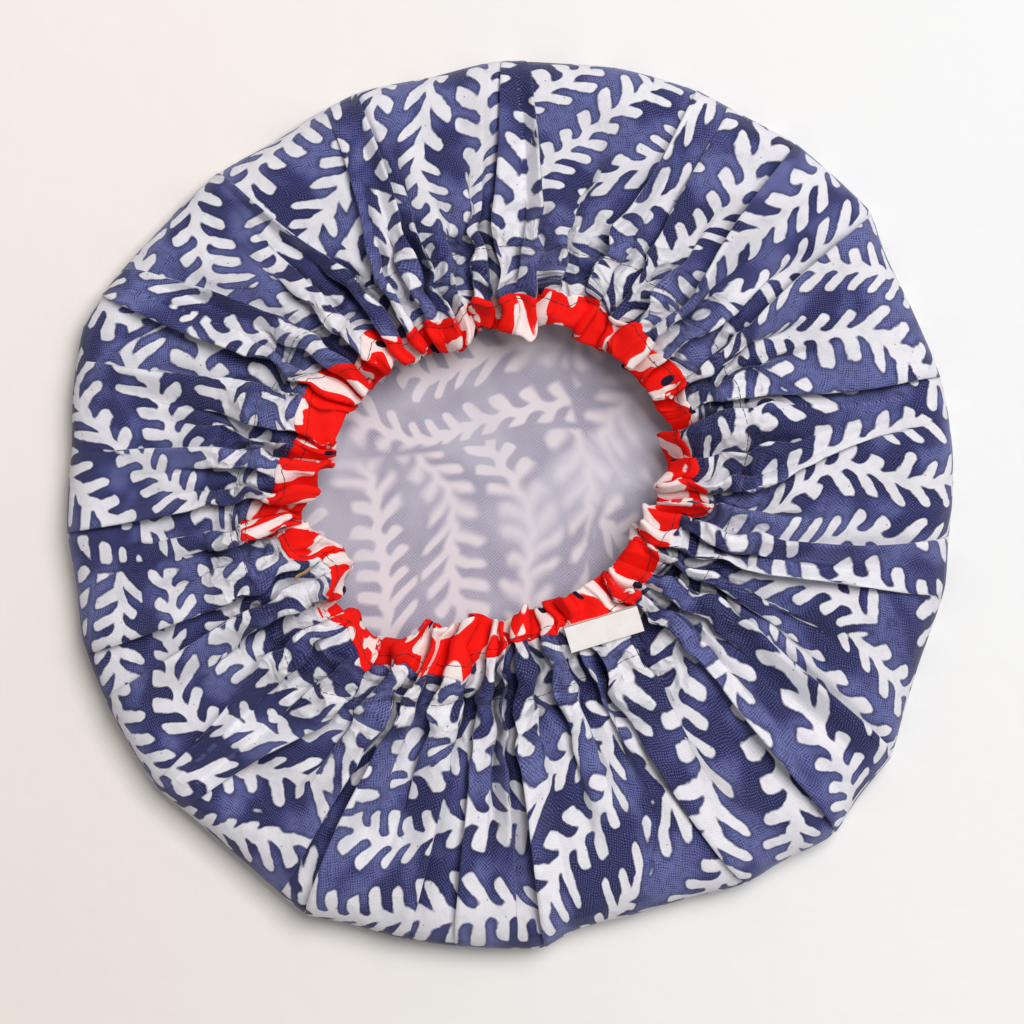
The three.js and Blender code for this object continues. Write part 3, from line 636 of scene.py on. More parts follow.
# %% Where the print lies and the columns together
def print_turns(at, place):
    """Turn on the flat cut of every column: each plateau has its own piece of the print at true size,
    about the plateau's middle at the rim, and the crease's columns span what is left between two."""
    half = at.width / 2 / at.row
    print_right = np.roll(plateau_middle, 1)
    print_right = print_right - np.array([2 * np.pi] + [0] * (crease_count - 1)) + np.roll(half, 1, axis=1)
    print_left = plateau_middle - half
    print_fold = ease((at.row - crease_start + PRINT_LEAD) / PRINT_RUN) * at.kept
    shift = hidden_cloth(np.maximum(print_left - print_right, 0), print_fold)
    print_left, print_right = print_left + shift, print_right + np.roll(shift, 1, axis=1)
    print_start = print_right + at.next_end / at.row
    print_end = print_left + at.start / at.row
    crease_print = mix(print_start[..., None], print_end[..., None], FOLD_STEPS)
    return np.concatenate([crease_print, print_left[..., None] + place / at.row[..., None]], axis=2)


def fold_columns(at_rows):
    """Turn, rise, print turn and mouth radius of every column at every row, as [row, column]."""
    at = fold_sizes(at_rows)
    crease_x, crease_z = crease_columns(at)
    place, plateau_z = plateau_columns(at)
    all_turn = at.turns[..., None] + np.concatenate([crease_x, place], axis=2) / at.radius[..., None]
    all_rise = np.concatenate([crease_z, plateau_z], axis=2)
    all_print = mix(all_turn, print_turns(at, place), ramp(at.row, *PRINT_SPAN)[..., None])
    mouth_fold = mix(mouth_before[:, None], mouth_after[:, None], ease(FOLD_STEPS))
    mouth_flat = mix(mouth_after[:, None], np.roll(mouth_before, -1)[:, None], ease(MOUTH_SHARES))
    all_mouth = np.broadcast_to(np.concatenate([mouth_fold, mouth_flat], axis=1), all_turn.shape)
    return [values.reshape(len(at_rows), -1) for values in (all_turn, all_rise, all_print, all_mouth)]


print("columns:", fold_columns(rows[:1])[0].shape[1])

# %% [markdown]
# Two last moves make the folds less stiff. A smooth sideways sway is a field of place, not of the cloth,
# so layers that lie on one another move together and never cross. Then the cloth is pressed flat where
# the tag lies on it.

# %% Pressed under the tag and swayed
LABEL_MIDDLE = np.array([31.0, -41.3])
LABEL_FLOOR = 27.0
LABEL_REACH, LABEL_FADE, LABEL_FREE = 13, 9, 4.0
PRESS_SOFTNESS = 1.6


def pressed(points):
    """Heights with the cloth pressed flat under the tag: a smooth minimum with the tag's floor there."""
    away = np.hypot(points[..., 0] - LABEL_MIDDLE[0], points[..., 1] - LABEL_MIDDLE[1])
    floor = LABEL_FLOOR + LABEL_FREE * ramp(away, LABEL_REACH, LABEL_FADE)
    return floor - np.log1p(np.exp((floor - points[..., 2]) * PRESS_SOFTNESS)) / PRESS_SOFTNESS


SWAY_SIZE = 15.0
SWAY = 1.15
SWAY_WAYS = 6
SWAY_EVEN = 2.4
sway_phase = np.random.default_rng(21).uniform(0, 2 * np.pi, (2, SWAY_WAYS))


def sway(points, share):
    """Points moved sideways by a smooth field of place, so that layers over one another move together.
    Each of x and y gets the sum of sine waves in six directions, held to about one mm."""
    ways = np.arange(SWAY_WAYS) * np.pi / SWAY_WAYS
    moved = points.copy()
    for axis in range(2):
        total = np.zeros(points.shape[:-1])
        for way, phase in zip(ways + 0.4 * axis, sway_phase[axis]):
            along = points[..., 0] * np.cos(way) + points[..., 1] * np.sin(way)
            length = SWAY_SIZE * (0.8 + 0.5 * np.sin(3 * way) ** 2)
            total += np.sin(2 * np.pi * along / length + phase)
        moved[..., axis] += SWAY * share * total / SWAY_EVEN
    return moved


print("waves of the sway in each of x and y:", sway_phase.shape[1])

# %% Points of the cotton
WRINKLE_HEIGHT = 0.9
BROAD_SIZE, BROAD_SEED, BROAD_HEIGHT = 52, 3, 1.3
MIDDLE_SIZE, MIDDLE_SEED, MIDDLE_HEIGHT, MIDDLE_GATHERED = 20, 5, 0.45, 0.5
FINE_SIZE, FINE_SEED = 10, 6
SEAM_DIP, SEAM_DIP_WIDTH = 0.7, 1.6
LESS_FINE = 0.6
TOP_SPAN, SWAY_SPAN, GATHERED_SPAN = (146, 40), (196, 22), (203, 14)
MOUTH_SPAN, LESS_FINE_SPAN = (207, 26), (234, 4)
SIDE_SHARE = 0.5
CLEARANCE = 1.0
FLOOR_SOFTNESS = 2.5


def cloth_points(at_rows):
    """Points in mm and flat places in mm of the cotton, as [row, column, 3] and [row, column, 2].
    A rise stands out along the way that the smooth cloth faces: sideways at the rim, up on top. A
    smooth maximum, the logarithm of a sum of exponentials, keeps it over the layers inside."""
    turn, rise, print_turn, mouth = fold_columns(at_rows)
    row = at_rows[:, None]
    shaped = mix(smooth_mouth(turn), mouth, ramp(row, *MOUTH_SPAN))
    radius = cloth_radius(row, turn, shaped)
    lean = side_lean(row)
    out = np.sin(lean) * (row < SHOULDER_ROW)
    up = np.where(row < SHOULDER_ROW, -np.cos(lean), 1.0)
    flat_place = np.stack([row * np.cos(print_turn), row * np.sin(print_turn)], axis=2)
    top_share = ramp(row, *TOP_SPAN)
    gathered = ramp(row, *GATHERED_SPAN)
    middle_height = MIDDLE_HEIGHT + MIDDLE_GATHERED * gathered
    rise = rise + wrinkles(turn, row) * WRINKLE_HEIGHT * top_share
    rise = rise + crumple(flat_place, BROAD_SIZE, BROAD_SEED) * BROAD_HEIGHT * top_share * (1 - gathered)
    rise = rise + crumple(flat_place, MIDDLE_SIZE, MIDDLE_SEED) * middle_height * top_share
    fine_share = gathered * (1 - LESS_FINE * ramp(row, *LESS_FINE_SPAN))
    rise = rise + crumple(flat_place, FINE_SIZE, FINE_SEED) * fine_share
    rise = rise - SEAM_DIP * np.exp(-(((row - SEAM_ROW) / SEAM_DIP_WIDTH) ** 2))
    radius = radius + out * rise * SIDE_SHARE
    lowest = layers_under(row) + CLEARANCE
    rise = lowest + np.logaddexp(0, (rise - lowest) * FLOOR_SOFTNESS) / FLOOR_SOFTNESS
    points = round_mouth(radius, turn, cloth_height(row, turn) + np.maximum(up, 0) * rise)
    points = sway(points, ramp(row, *SWAY_SPAN))
    points[..., 2] = pressed(points)
    return points, flat_place


outer_points, outer_flat = cloth_points(rows)
print("highest fold in mm:", outer_points[..., 2].max().round(1))

# %% [markdown]
# ## From a grid of points to a mesh
# Every piece here is a grid of points, so one helper turns a grid into faces. A grid may close round
# its columns, as the cap does, and round its rows, as a tube does, or end in a pole.
# The map for the print is given per grid point, with one more column where the grid closes.

# %% Helpers for grid surfaces
def link_object(name, data):
    """An object with that data, put in the scene."""
    piece = bpy.data.objects.new(name, data)
    bpy.context.scene.collection.objects.link(piece)
    return piece


def pole_fan(ring, flat_ring, centre, centre_flat, turned):
    """Triangles from a pole to a ring of points, and the print's place at their corners."""
    following, flat_here = np.roll(ring, -1), flat_ring[: len(ring)]
    closed = len(flat_ring) > len(ring)
    flat_next = flat_ring[1 : len(ring) + 1] if closed else np.roll(flat_here, -1, axis=0)
    middle = np.full(len(ring), centre)
    middle_flat = np.broadcast_to(centre_flat, flat_here.shape)
    if turned:
        return np.stack([middle, ring, following], 1), np.stack([middle_flat, flat_here, flat_next], 1)
    return np.stack([middle, following, ring], 1), np.stack([middle_flat, flat_next, flat_here], 1)


def add_grid(name, points, flat, close_rows=False, start_pole=None, end_pole=None):
    """Mesh of a grid whose columns close on themselves, points in mm.
    Face corners are listed as whole arrays: each square joins a point, the next column, that
    column on the next row, and the next row. A pole closes the first or the last row with a fan."""
    count_rows, count_columns = points.shape[:2]
    last_row = count_rows if close_rows else count_rows - 1
    i, j = np.meshgrid(np.arange(last_row), np.arange(count_columns), indexing="ij")
    next_i, next_j = (i + 1) % count_rows, (j + 1) % count_columns
    corners = np.stack([
        i * count_columns + j, i * count_columns + next_j,
        next_i * count_columns + next_j, next_i * count_columns + j,
    ], axis=-1).reshape(-1, 4)
    wide = flat.shape[1]
    corner_flat = np.stack([
        flat[i, j], flat[i, (j + 1) % wide],
        flat[(i + 1) % len(flat), (j + 1) % wide], flat[(i + 1) % len(flat), j],
    ], axis=2).reshape(-1, 2)
    loops = corners.ravel()
    starts = np.arange(len(corners)) * 4
    totals = np.full(len(corners), 4)
    vertices = points.reshape(-1, 3) * MM
    for pole, row, turned in ((start_pole, 0, False), (end_pole, count_rows - 1, True)):
        if pole is not None:
            ring = row * count_columns + np.arange(count_columns)
            fan, fan_flat = pole_fan(ring, flat[row], len(vertices), flat[row].mean(axis=0), turned)
            vertices = np.vstack([vertices, np.array(pole) * MM])
            starts = np.append(starts, len(loops) + np.arange(count_columns) * 3)
            totals = np.append(totals, np.full(count_columns, 3))
            loops = np.append(loops, fan.ravel())
            corner_flat = np.vstack([corner_flat, fan_flat.reshape(-1, 2)])
    mesh = bpy.data.meshes.new(name)
    mesh.vertices.add(len(vertices))
    mesh.vertices.foreach_set("co", vertices.astype(np.float32).ravel())
    mesh.loops.add(len(loops))
    mesh.loops.foreach_set("vertex_index", loops.astype(np.int32))
    mesh.polygons.add(len(starts))
    mesh.polygons.foreach_set("loop_start", starts.astype(np.int32))
    mesh.polygons.foreach_set("loop_total", totals.astype(np.int32))
    cut = mesh.uv_layers.new(name="cut")
    cut.data.foreach_set("uv", (corner_flat * MM).astype(np.float32).ravel())
    mesh.update(calc_edges=True)
    mesh.validate()
    mesh.polygons.foreach_set("use_smooth", np.ones(len(starts), dtype=bool))
    print(name, "faces:", len(starts))
    return link_object(name, mesh)


def thicken(piece, thickness):
    """A wall of that thickness in mm, grown inwards from the faces."""
    wall = piece.modifiers.new("wall", "SOLIDIFY")
    wall.thickness = thickness * MM
    wall.offset = -1
    wall.use_even_offset = False


print("mesh helpers ready, one unit of a grid in metres:", MM)

# %% [markdown]
# ## The printed cotton
# The cloth's own thickness is about a third of a millimetre, so a Solidify wall on the folded surface
# is enough. It is one sheet that was cut as a circle.

# %% The outer cloth
OUTER_THICKNESS = 0.35
outer = add_grid("outer_cloth", outer_points, outer_flat, start_pole=(*MOUTH_CENTRE, 0.0))
thicken(outer, OUTER_THICKNESS)
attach(outer, "cap")
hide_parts("outer_fabric")

# %% [markdown]
# ## The frosted lining
# The lining is a second round cloth inside the first, so it follows the same way a little further in.
# It is thin film and is seen only on the floor of the crown and just under the mouth.
# Folding it like the cotton would cost twice the faces for folds that nobody sees, so it takes soft
# ripples instead, which also hold its real width of cloth.

# %% The lining
LINING_COLUMNS = 540
LINING_RIPPLES = 60
RIPPLE_DEPTH = 1.85
RIPPLE_LEAD, RIPPLE_RUN = 12, 40
LESS_RIPPLE, LESS_RIPPLE_SPAN = 0.5, (236, 8)
WIDEN, WIDEN_SPAN = 1.0, (212, 22)
CROWN_WAVE = 0.35
CROWN_RUN, CROWN_END_SPAN = 40, (110, 20)
LINING_THICKNESS = 0.2


def lining_points(at_rows):
    """Points in mm and flat places in mm of the lining.
    The cotton's smooth way, set in by the inset and by the lining's own rise, then low waves on the
    crown and deeper ripples that hang down under the top. Its edge takes the wider of the smoothed
    and the stepped mouth, so that it never shows inside the binding."""
    row = at_rows[:, None]
    turn = np.linspace(0, 2 * np.pi, LINING_COLUMNS, endpoint=False)[None, :]
    mouth, edge = smooth_mouth(turn), np.interp(turn, edge_turns, edge_middle, period=2 * np.pi)
    widest = np.maximum(mouth, edge) + WIDEN
    radius = cloth_radius(row, turn, mix(mouth, widest, ramp(row, *WIDEN_SPAN)))
    radius = radius - LINING_INSET * np.sin(side_lean(row))
    over = ease((row - SHOULDER_ROW + RIPPLE_LEAD) / RIPPLE_RUN)
    ripple = 0.5 - 0.5 * np.cos(LINING_RIPPLES * turn + 3 * np.sin(5 * turn) + 0.02 * row)
    depth = RIPPLE_DEPTH * over * (1 - LESS_RIPPLE * ramp(row, *LESS_RIPPLE_SPAN))
    crown_waves = CROWN_WAVE * (1 + np.sin(6.5 * radius / 60 * np.cos(turn - 0.7) + 2.1 * np.sin(2 * turn)))
    crown_waves = crown_waves * ease(row / CROWN_RUN) * (1 - ramp(row, *CROWN_END_SPAN))
    height = cloth_height(row, turn) + lining_rise(row) - depth * ripple + crown_waves
    flat_place = np.stack([row * np.cos(turn), row * np.sin(turn)], axis=2)
    return round_mouth(radius, turn, height), flat_place


lining_rows = np.concatenate([
    np.linspace(4, CROWN_ROW, 22), np.linspace(136, SHOULDER_ROW, 10), np.linspace(176, 243.5, 24),
])
inner_points, inner_flat = lining_points(lining_rows)
lining = add_grid("lining_film", inner_points, inner_flat, start_pole=(*MOUTH_CENTRE, LINING_INSET))
thicken(lining, LINING_THICKNESS)
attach(lining, "cap")
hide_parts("lining")
lining_heights = inner_points[..., 2]
print("lining lowest and highest in mm:", lining_heights.min().round(2), lining_heights.max().round(2))

# %% [markdown]
# ## The elastic
# The elastic is a flat knitted band closed into a ring. It lies between the two cloths in the casing and
# can't be seen, but the part has it, so the scene has it too.

# %% The elastic band
ELASTIC_WIDTH = 9.0
ELASTIC_THICKNESS = 0.6
BAND_RADIUS = 62


def band_points(first_row, last_row, thickness, drop, count):
    """Closed band under the cotton: four edges of a flat section, drop mm under the cotton's way.
    Its map is the length at the band's mean radius by the row."""
    turn = np.linspace(0, 2 * np.pi, count, endpoint=False)
    section_rows = np.array([first_row, first_row, last_row, last_row])
    section_rise = np.array([-thickness, 0, 0, -thickness]) - drop
    row = section_rows[:, None]
    radius = cloth_radius(row, turn, smooth_mouth(turn))
    height = cloth_height(row, turn) + section_rise[:, None]
    map_across = np.broadcast_to(row, height.shape) + section_rise[:, None]
    flat_place = np.stack([np.broadcast_to(turn * BAND_RADIUS, height.shape), map_across], axis=2)
    closing = flat_place[:, :1] + np.array([2 * np.pi * BAND_RADIUS, 0])
    return round_mouth(radius, turn, height), np.concatenate([flat_place, closing], axis=1)


band, band_flat = band_points(
    ELASTIC_ROW - ELASTIC_WIDTH / 2, ELASTIC_ROW + ELASTIC_WIDTH / 2, ELASTIC_THICKNESS, ELASTIC_DROP, 480
)
elastic = add_grid("elastic_ring", band, band_flat, close_rows=True)
elastic.data.polygons.foreach_set("use_smooth", np.zeros(len(elastic.data.polygons), dtype=bool))
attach(elastic, "cap")
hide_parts("elastic_band")
print("elastic band in mm:", ELASTIC_WIDTH, "wide,", ELASTIC_THICKNESS, "thick")

# %% [markdown]
# ## The red binding
# A strip folded over the raw edge follows every fold of the cotton, so it is made from the cotton's own
# points: out along their normals above, round the edge of the mouth, and back underneath.
# A plain ring with its own folds would drift away from the cotton's creases.

# %% Normals and lengths of a grid
def unit(vectors):
    """The same ways with length one."""
    return vectors / np.maximum(np.linalg.norm(vectors, axis=-1, keepdims=True), 1e-9)


def grid_normals(points):
    """Unit normals of a grid that closes on its columns, from the differences between neighbours."""
    along = np.roll(points, -1, axis=1) - np.roll(points, 1, axis=1)
    return unit(np.cross(along, np.gradient(points, axis=0)))


def column_way(points):
    """Distance in mm run along the columns of a grid, from the first column to one past the last."""
    closed = np.concatenate([points, points[:, :1]], axis=1)
    steps = np.linalg.norm(np.diff(closed, axis=1), axis=2)
    return np.concatenate([np.zeros((len(points), 1)), np.cumsum(steps, axis=1)], axis=1)


edge_way = column_way(outer_points[-1:])[0, -1]
print("the cotton's edge, run along all its folds, in mm:", edge_way.round(0))

# %% The binding
BINDING_THICKNESS = 0.25
TURN_ROW = 247.9
MIDDLE_ROW = 241
MIDDLE_INDEX = 5
BIND_ROWS = np.array([235.6, 236.2, 237.2, 238.2, 239.6, 241.4, 243.2, 245.0, 246.4, 247.2, 247.7])
ABOVE_OUT = np.array([0.1, 0.4, 0.5, 0.42, 0.5, 0.5, 0.5, 0.5, 0.45, 0.3, 0.0])
BELOW_OUT = np.array([-0.75, -0.95, -1.0, -1.0, -1.0, -1.0, -1.0, -1.0, -1.0, -0.9])
below_rows = np.arange(len(BIND_ROWS) - 1, 0, -1)
edge_points, _ = cloth_points(BIND_ROWS)
edge_normals = grid_normals(edge_points)
above = edge_points + edge_normals * ABOVE_OUT[:, None, None]
below = edge_points[below_rows] + edge_normals[below_rows] * BELOW_OUT[:, None, None]
bound_points = np.concatenate([above, below], axis=0)
lengths = column_way(edge_points)
strip_length = 2 * np.pi * MIDDLE_ROW
strip_along = lengths[MIDDLE_INDEX] / lengths[MIDDLE_INDEX, -1] * 2 * np.pi * MIDDLE_ROW
strip_rows = np.concatenate([BIND_ROWS, 2 * TURN_ROW - BIND_ROWS[below_rows]])
bound_flat = np.stack(np.broadcast_arrays(strip_along, strip_rows[:, None]), axis=2)
binding = add_grid("red_binding", bound_points, bound_flat)
thicken(binding, BINDING_THICKNESS)
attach(binding, "cap")
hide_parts("edge_binding")
folded_length = lengths[MIDDLE_INDEX, -1].round(0)
print("folded length of the edge in mm:", folded_length, "of a cut length", round(strip_length))

# %% [markdown]
# ## The two lines of stitching
# Each seam has a needle thread on top and a bobbin thread underneath. Both run along a row of the cloth,
# and all but the casing's bobbin thread under the lining dip in at every stitch. They are laid out by length
# run, so stitches are equal even in the folds.

# %% Lines of the seams
STITCH = 2.6
STITCH_SINK = 0.3
STITCH_ROW = 238.2
NEAR_ROWS = 0.6


def resampled(vectors, way, wanted):
    """Vectors of a closed line, read at the wanted distances along its way."""
    closed = np.concatenate([vectors, vectors[:1]])
    return np.stack([np.interp(wanted, way, closed[:, axis]) for axis in range(3)], axis=1)


def thread_way(at_row, lift, spacing, fold_it):
    """Points and normals of a seam line: a row of the cloth resampled every so many mm along it.
    The line stands off the cloth by the lift and dips into it at the end of every stitch. The seam
    of the lining keeps level, since nobody sees its stitches."""
    near = np.array([at_row - NEAR_ROWS, at_row, at_row + NEAR_ROWS])
    points, _ = cloth_points(near) if fold_it else lining_points(near)
    way = column_way(points)[1]
    wanted = np.linspace(0, way[-1], int(way[-1] / spacing), endpoint=False)
    line = resampled(points[1], way, wanted)
    face = unit(resampled(grid_normals(points)[1], way, wanted))
    stitches = np.round(way[-1] / STITCH)
    hump = np.abs(np.sin(np.pi * wanted / way[-1] * stitches)) ** 0.5
    sink = STITCH_SINK * (hump[:, None] - 1) if fold_it else 0.0
    return line + face * (lift + sink), face


BIND_SPACING = 0.6
casing_top, casing_top_face = thread_way(SEAM_ROW, 0.03, 0.5, True)
casing_under, casing_under_face = thread_way(SEAM_ROW, -0.45, 0.8, False)
bind_top, bind_top_face = thread_way(STITCH_ROW, 0.5, BIND_SPACING, True)
bind_under, bind_under_face = thread_way(STITCH_ROW, -1.25, BIND_SPACING, True)
print("stitches along the binding:", round(len(bind_top) * BIND_SPACING / STITCH))

# %% Threads of the casing and the binding
THREAD_RADIUS = 0.14
MAP_ALONG, MAP_AROUND = 0.6, 0.2


def add_thread(name, line, face, node, sides=6):
    """Tube round a closed line of points: a ring of points about each, in the plane of its normal."""
    along = unit(np.roll(line, -1, axis=0) - np.roll(line, 1, axis=0))
    across = unit(np.cross(along, face))
    upward = np.cross(across, along)
    angle = np.linspace(0, 2 * np.pi, sides, endpoint=False)[:, None, None]
    ring = line + THREAD_RADIUS * (np.cos(angle) * across + np.sin(angle) * upward)
    run, round_it = np.arange(len(line) + 1) * MAP_ALONG, np.arange(sides)[:, None] * MAP_AROUND
    flat_place = np.stack(np.broadcast_arrays(run, round_it), axis=2)
    tube = add_grid(name, ring, flat_place, close_rows=True)
    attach(tube, "cap")
    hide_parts(node)
    return tube


threads = [
    add_thread("casing_stitches_top", casing_top, casing_top_face, "casing_thread"),
    add_thread("casing_stitches_under", casing_under, casing_under_face, "casing_bobbin_thread"),
    add_thread("binding_stitches_top", bind_top, bind_top_face, "binding_thread"),
    add_thread("binding_stitches_under", bind_under, bind_under_face, "binding_bobbin_thread"),
]
print("thread tubes:", len(threads))

# %% [markdown]
# ## The label and the loose thread
# The tag is a folded ribbon sewn in by one long side, so it swings about that side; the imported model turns
# it about a hinge there. The visual tag rides on that body, and a short root stays with the cap.
# A few columns and rows are enough for a stiff little ribbon that bows slightly. The root dives steeply
# under the binding's edge.

# %% Points of the ribbon
LABEL_LENGTH = 8.5
LABEL_WIDTH = 25.0
LABEL_ROOT = np.array([29.735, -37.219, 27.75])
LABEL_AXIS = np.array([0.956305, 0.292372, 0.0])
LABEL_OUT = np.array([0.292372, -0.956305, 0.0])
UP = np.array([0.0, 0.0, 1.0])
RIBBON_ROWS = 9
RIBBON_COLUMNS = 41
RIBBON_WAVE = 0.12
EDGE_SHARE = 0.55
MAP_APART = 20


def ribbon_points(first, last, thickness, bow, rise):
    """Closed slab of ribbon from the first to the last distance out of the hinge line, in mm.
    A rounded section is carried along the width; it bows across its width and lifts outwards. The
    map of its underside lies beside that of its top."""
    across = np.linspace(-0.5, 0.5, RIBBON_COLUMNS)
    out = np.linspace(first, last, RIBBON_ROWS)
    way = np.concatenate([out, out[::-1]])
    side = np.repeat([0.5, -0.5], RIBBON_ROWS)
    side[[0, RIBBON_ROWS - 1, RIBBON_ROWS, -1]] *= EDGE_SHARE
    w, o = across[None, :], way[:, None]
    height = side[:, None] * thickness + bow * (1 - 4 * w**2) * (o / LABEL_LENGTH) ** 2
    height = height + rise * (o / LABEL_LENGTH) + RIBBON_WAVE * np.sin(7 * w + 0.5 * o)
    points = LABEL_ROOT + LABEL_AXIS * (w * LABEL_WIDTH)[..., None] + LABEL_OUT * o[..., None]
    points = points + UP * height[..., None]
    map_out = o + MAP_APART * (side[:, None] < 0)
    return points, np.stack(np.broadcast_arrays(w * LABEL_WIDTH, map_out), axis=2)


print("ribbon in mm:", LABEL_WIDTH, "wide,", LABEL_LENGTH, "long")


# %% The woven label and its root
def add_slab(name, points, flat):
    """Mesh of a closed band of points with its two ends capped, points in mm."""
    count_rows, count_columns = points.shape[:2]
    i, j = np.meshgrid(np.arange(count_rows), np.arange(count_columns - 1), indexing="ij")
    next_i = (i + 1) % count_rows
    corners = np.stack([
        i * count_columns + j, i * count_columns + j + 1,
        next_i * count_columns + j + 1, next_i * count_columns + j,
    ], axis=-1).reshape(-1, 4)
    half = count_rows // 2
    k = np.arange(half - 1)
    caps = np.stack([k, k + 1, count_rows - 2 - k, count_rows - 1 - k], axis=1) * count_columns
    faces = np.concatenate([corners, caps, caps[:, ::-1] + count_columns - 1])
    mesh = bpy.data.meshes.new(name)
    mesh.from_pydata((points.reshape(-1, 3) * MM).tolist(), [], faces.tolist())
    cut = mesh.uv_layers.new(name="cut")
    cut.data.foreach_set("uv", (flat.reshape(-1, 2)[faces.ravel()] * MM).astype(np.float32).ravel())
    mesh.validate()
    print(name, "faces:", len(faces))
    return link_object(name, mesh)


label_points, label_flat = ribbon_points(0.05, LABEL_LENGTH, thickness=0.5, bow=0.15, rise=0.1)
label = add_slab("bare_tag", label_points, label_flat)
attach(label, "label")
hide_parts("woven_label")
root_points, root_flat = ribbon_points(-0.6, -0.05, thickness=0.4, bow=0, rise=50.0)
root = add_slab("tag_root", root_points, root_flat)
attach(root, "cap")

# %% [markdown]
# The loose end of golden thread lies on the cotton just outside the binding, at the height of the
# highest cloth near each of its places. It is two plies twisted together: each ply is a small tube that
# winds round one short bent line.

# %% The line of the loose thread end
TAIL_REACH = 1.8
TAIL_LIFT = 0.5
TAIL_EVEN = 0.6
TAIL_PLACES = np.array([(-65.4, -20.6), (-66.6, -22.6), (-68.0, -22.1), (-69.2, -24.0), (-70.6, -24.4)])
away = np.hypot(
    outer_points[None, ..., 0] - TAIL_PLACES[:, 0, None, None],
    outer_points[None, ..., 1] - TAIL_PLACES[:, 1, None, None],
)
on_cloth = np.where(away < TAIL_REACH, outer_points[None, ..., 2], -1).max(axis=(1, 2))
TAIL_LINE = np.column_stack([TAIL_PLACES, mix(on_cloth, on_cloth.max(), TAIL_EVEN) + TAIL_LIFT])
print("thread end in mm:", np.ptp(TAIL_LINE, axis=0))

# %% The two plies of the thread end
PLY_RADIUS = 0.3
PLY_TURNS = 4
PLY_STEPS = 90
PLY_SIDES = 7
TAPER_STEEPNESS = 25
PLY_ALONG, PLY_AROUND = 0.09, 0.2


def ply_points(phase):
    """Tube of one ply: a circle carried round a helix whose middle line is the chosen bent line, as
    a cubic fitted to its places."""
    t = np.linspace(0, 1, PLY_STEPS)
    knots = np.linspace(0, 1, len(TAIL_LINE))
    fit = np.polyfit(knots, TAIL_LINE, 3)
    middle = np.stack([np.polyval(fit[:, axis], t) for axis in range(3)], axis=1)
    along = unit(np.gradient(middle, axis=0))
    side = unit(np.cross(along, UP))
    lift = np.cross(side, along)
    wind = 2 * np.pi * PLY_TURNS * t[:, None] + phase
    line = middle + 1.1 * PLY_RADIUS * (np.cos(wind) * side + np.sin(wind) * lift)
    taper = np.clip(np.minimum(t, 1 - t) * TAPER_STEEPNESS, 0.15, 1)[:, None]
    angle = np.linspace(0, 2 * np.pi, PLY_SIDES, endpoint=False)[:, None, None]
    ring = line + PLY_RADIUS * taper * (np.cos(angle) * side + np.sin(angle) * lift)
    return np.swapaxes(ring, 0, 1)


tails = []
for number, phase in enumerate((0.0, np.pi)):
    ply = ply_points(phase)
    ends = ply[[0, -1]].mean(axis=1)
    around, run = np.arange(PLY_SIDES + 1) * PLY_AROUND, np.arange(PLY_STEPS) * PLY_ALONG
    ply_flat = np.stack(np.meshgrid(around, run), axis=2)
    tail = add_grid(f"gold_thread_ply_{number + 1}", ply, ply_flat, start_pole=ends[0], end_pole=ends[1])
    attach(tail, "cap")
    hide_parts("thread_tail")
    tails.append(tail)
print("plies:", len(tails))

# %% [markdown]
# ## Cloth colours as node materials
# Prints are drawn by nodes in millimetres of the flat cut, so they follow the cloth into its folds.
# A picture texture would be quicker, but a drawn formula stays sharp at any size and is free to reuse.
# A few short helpers keep the node code readable.

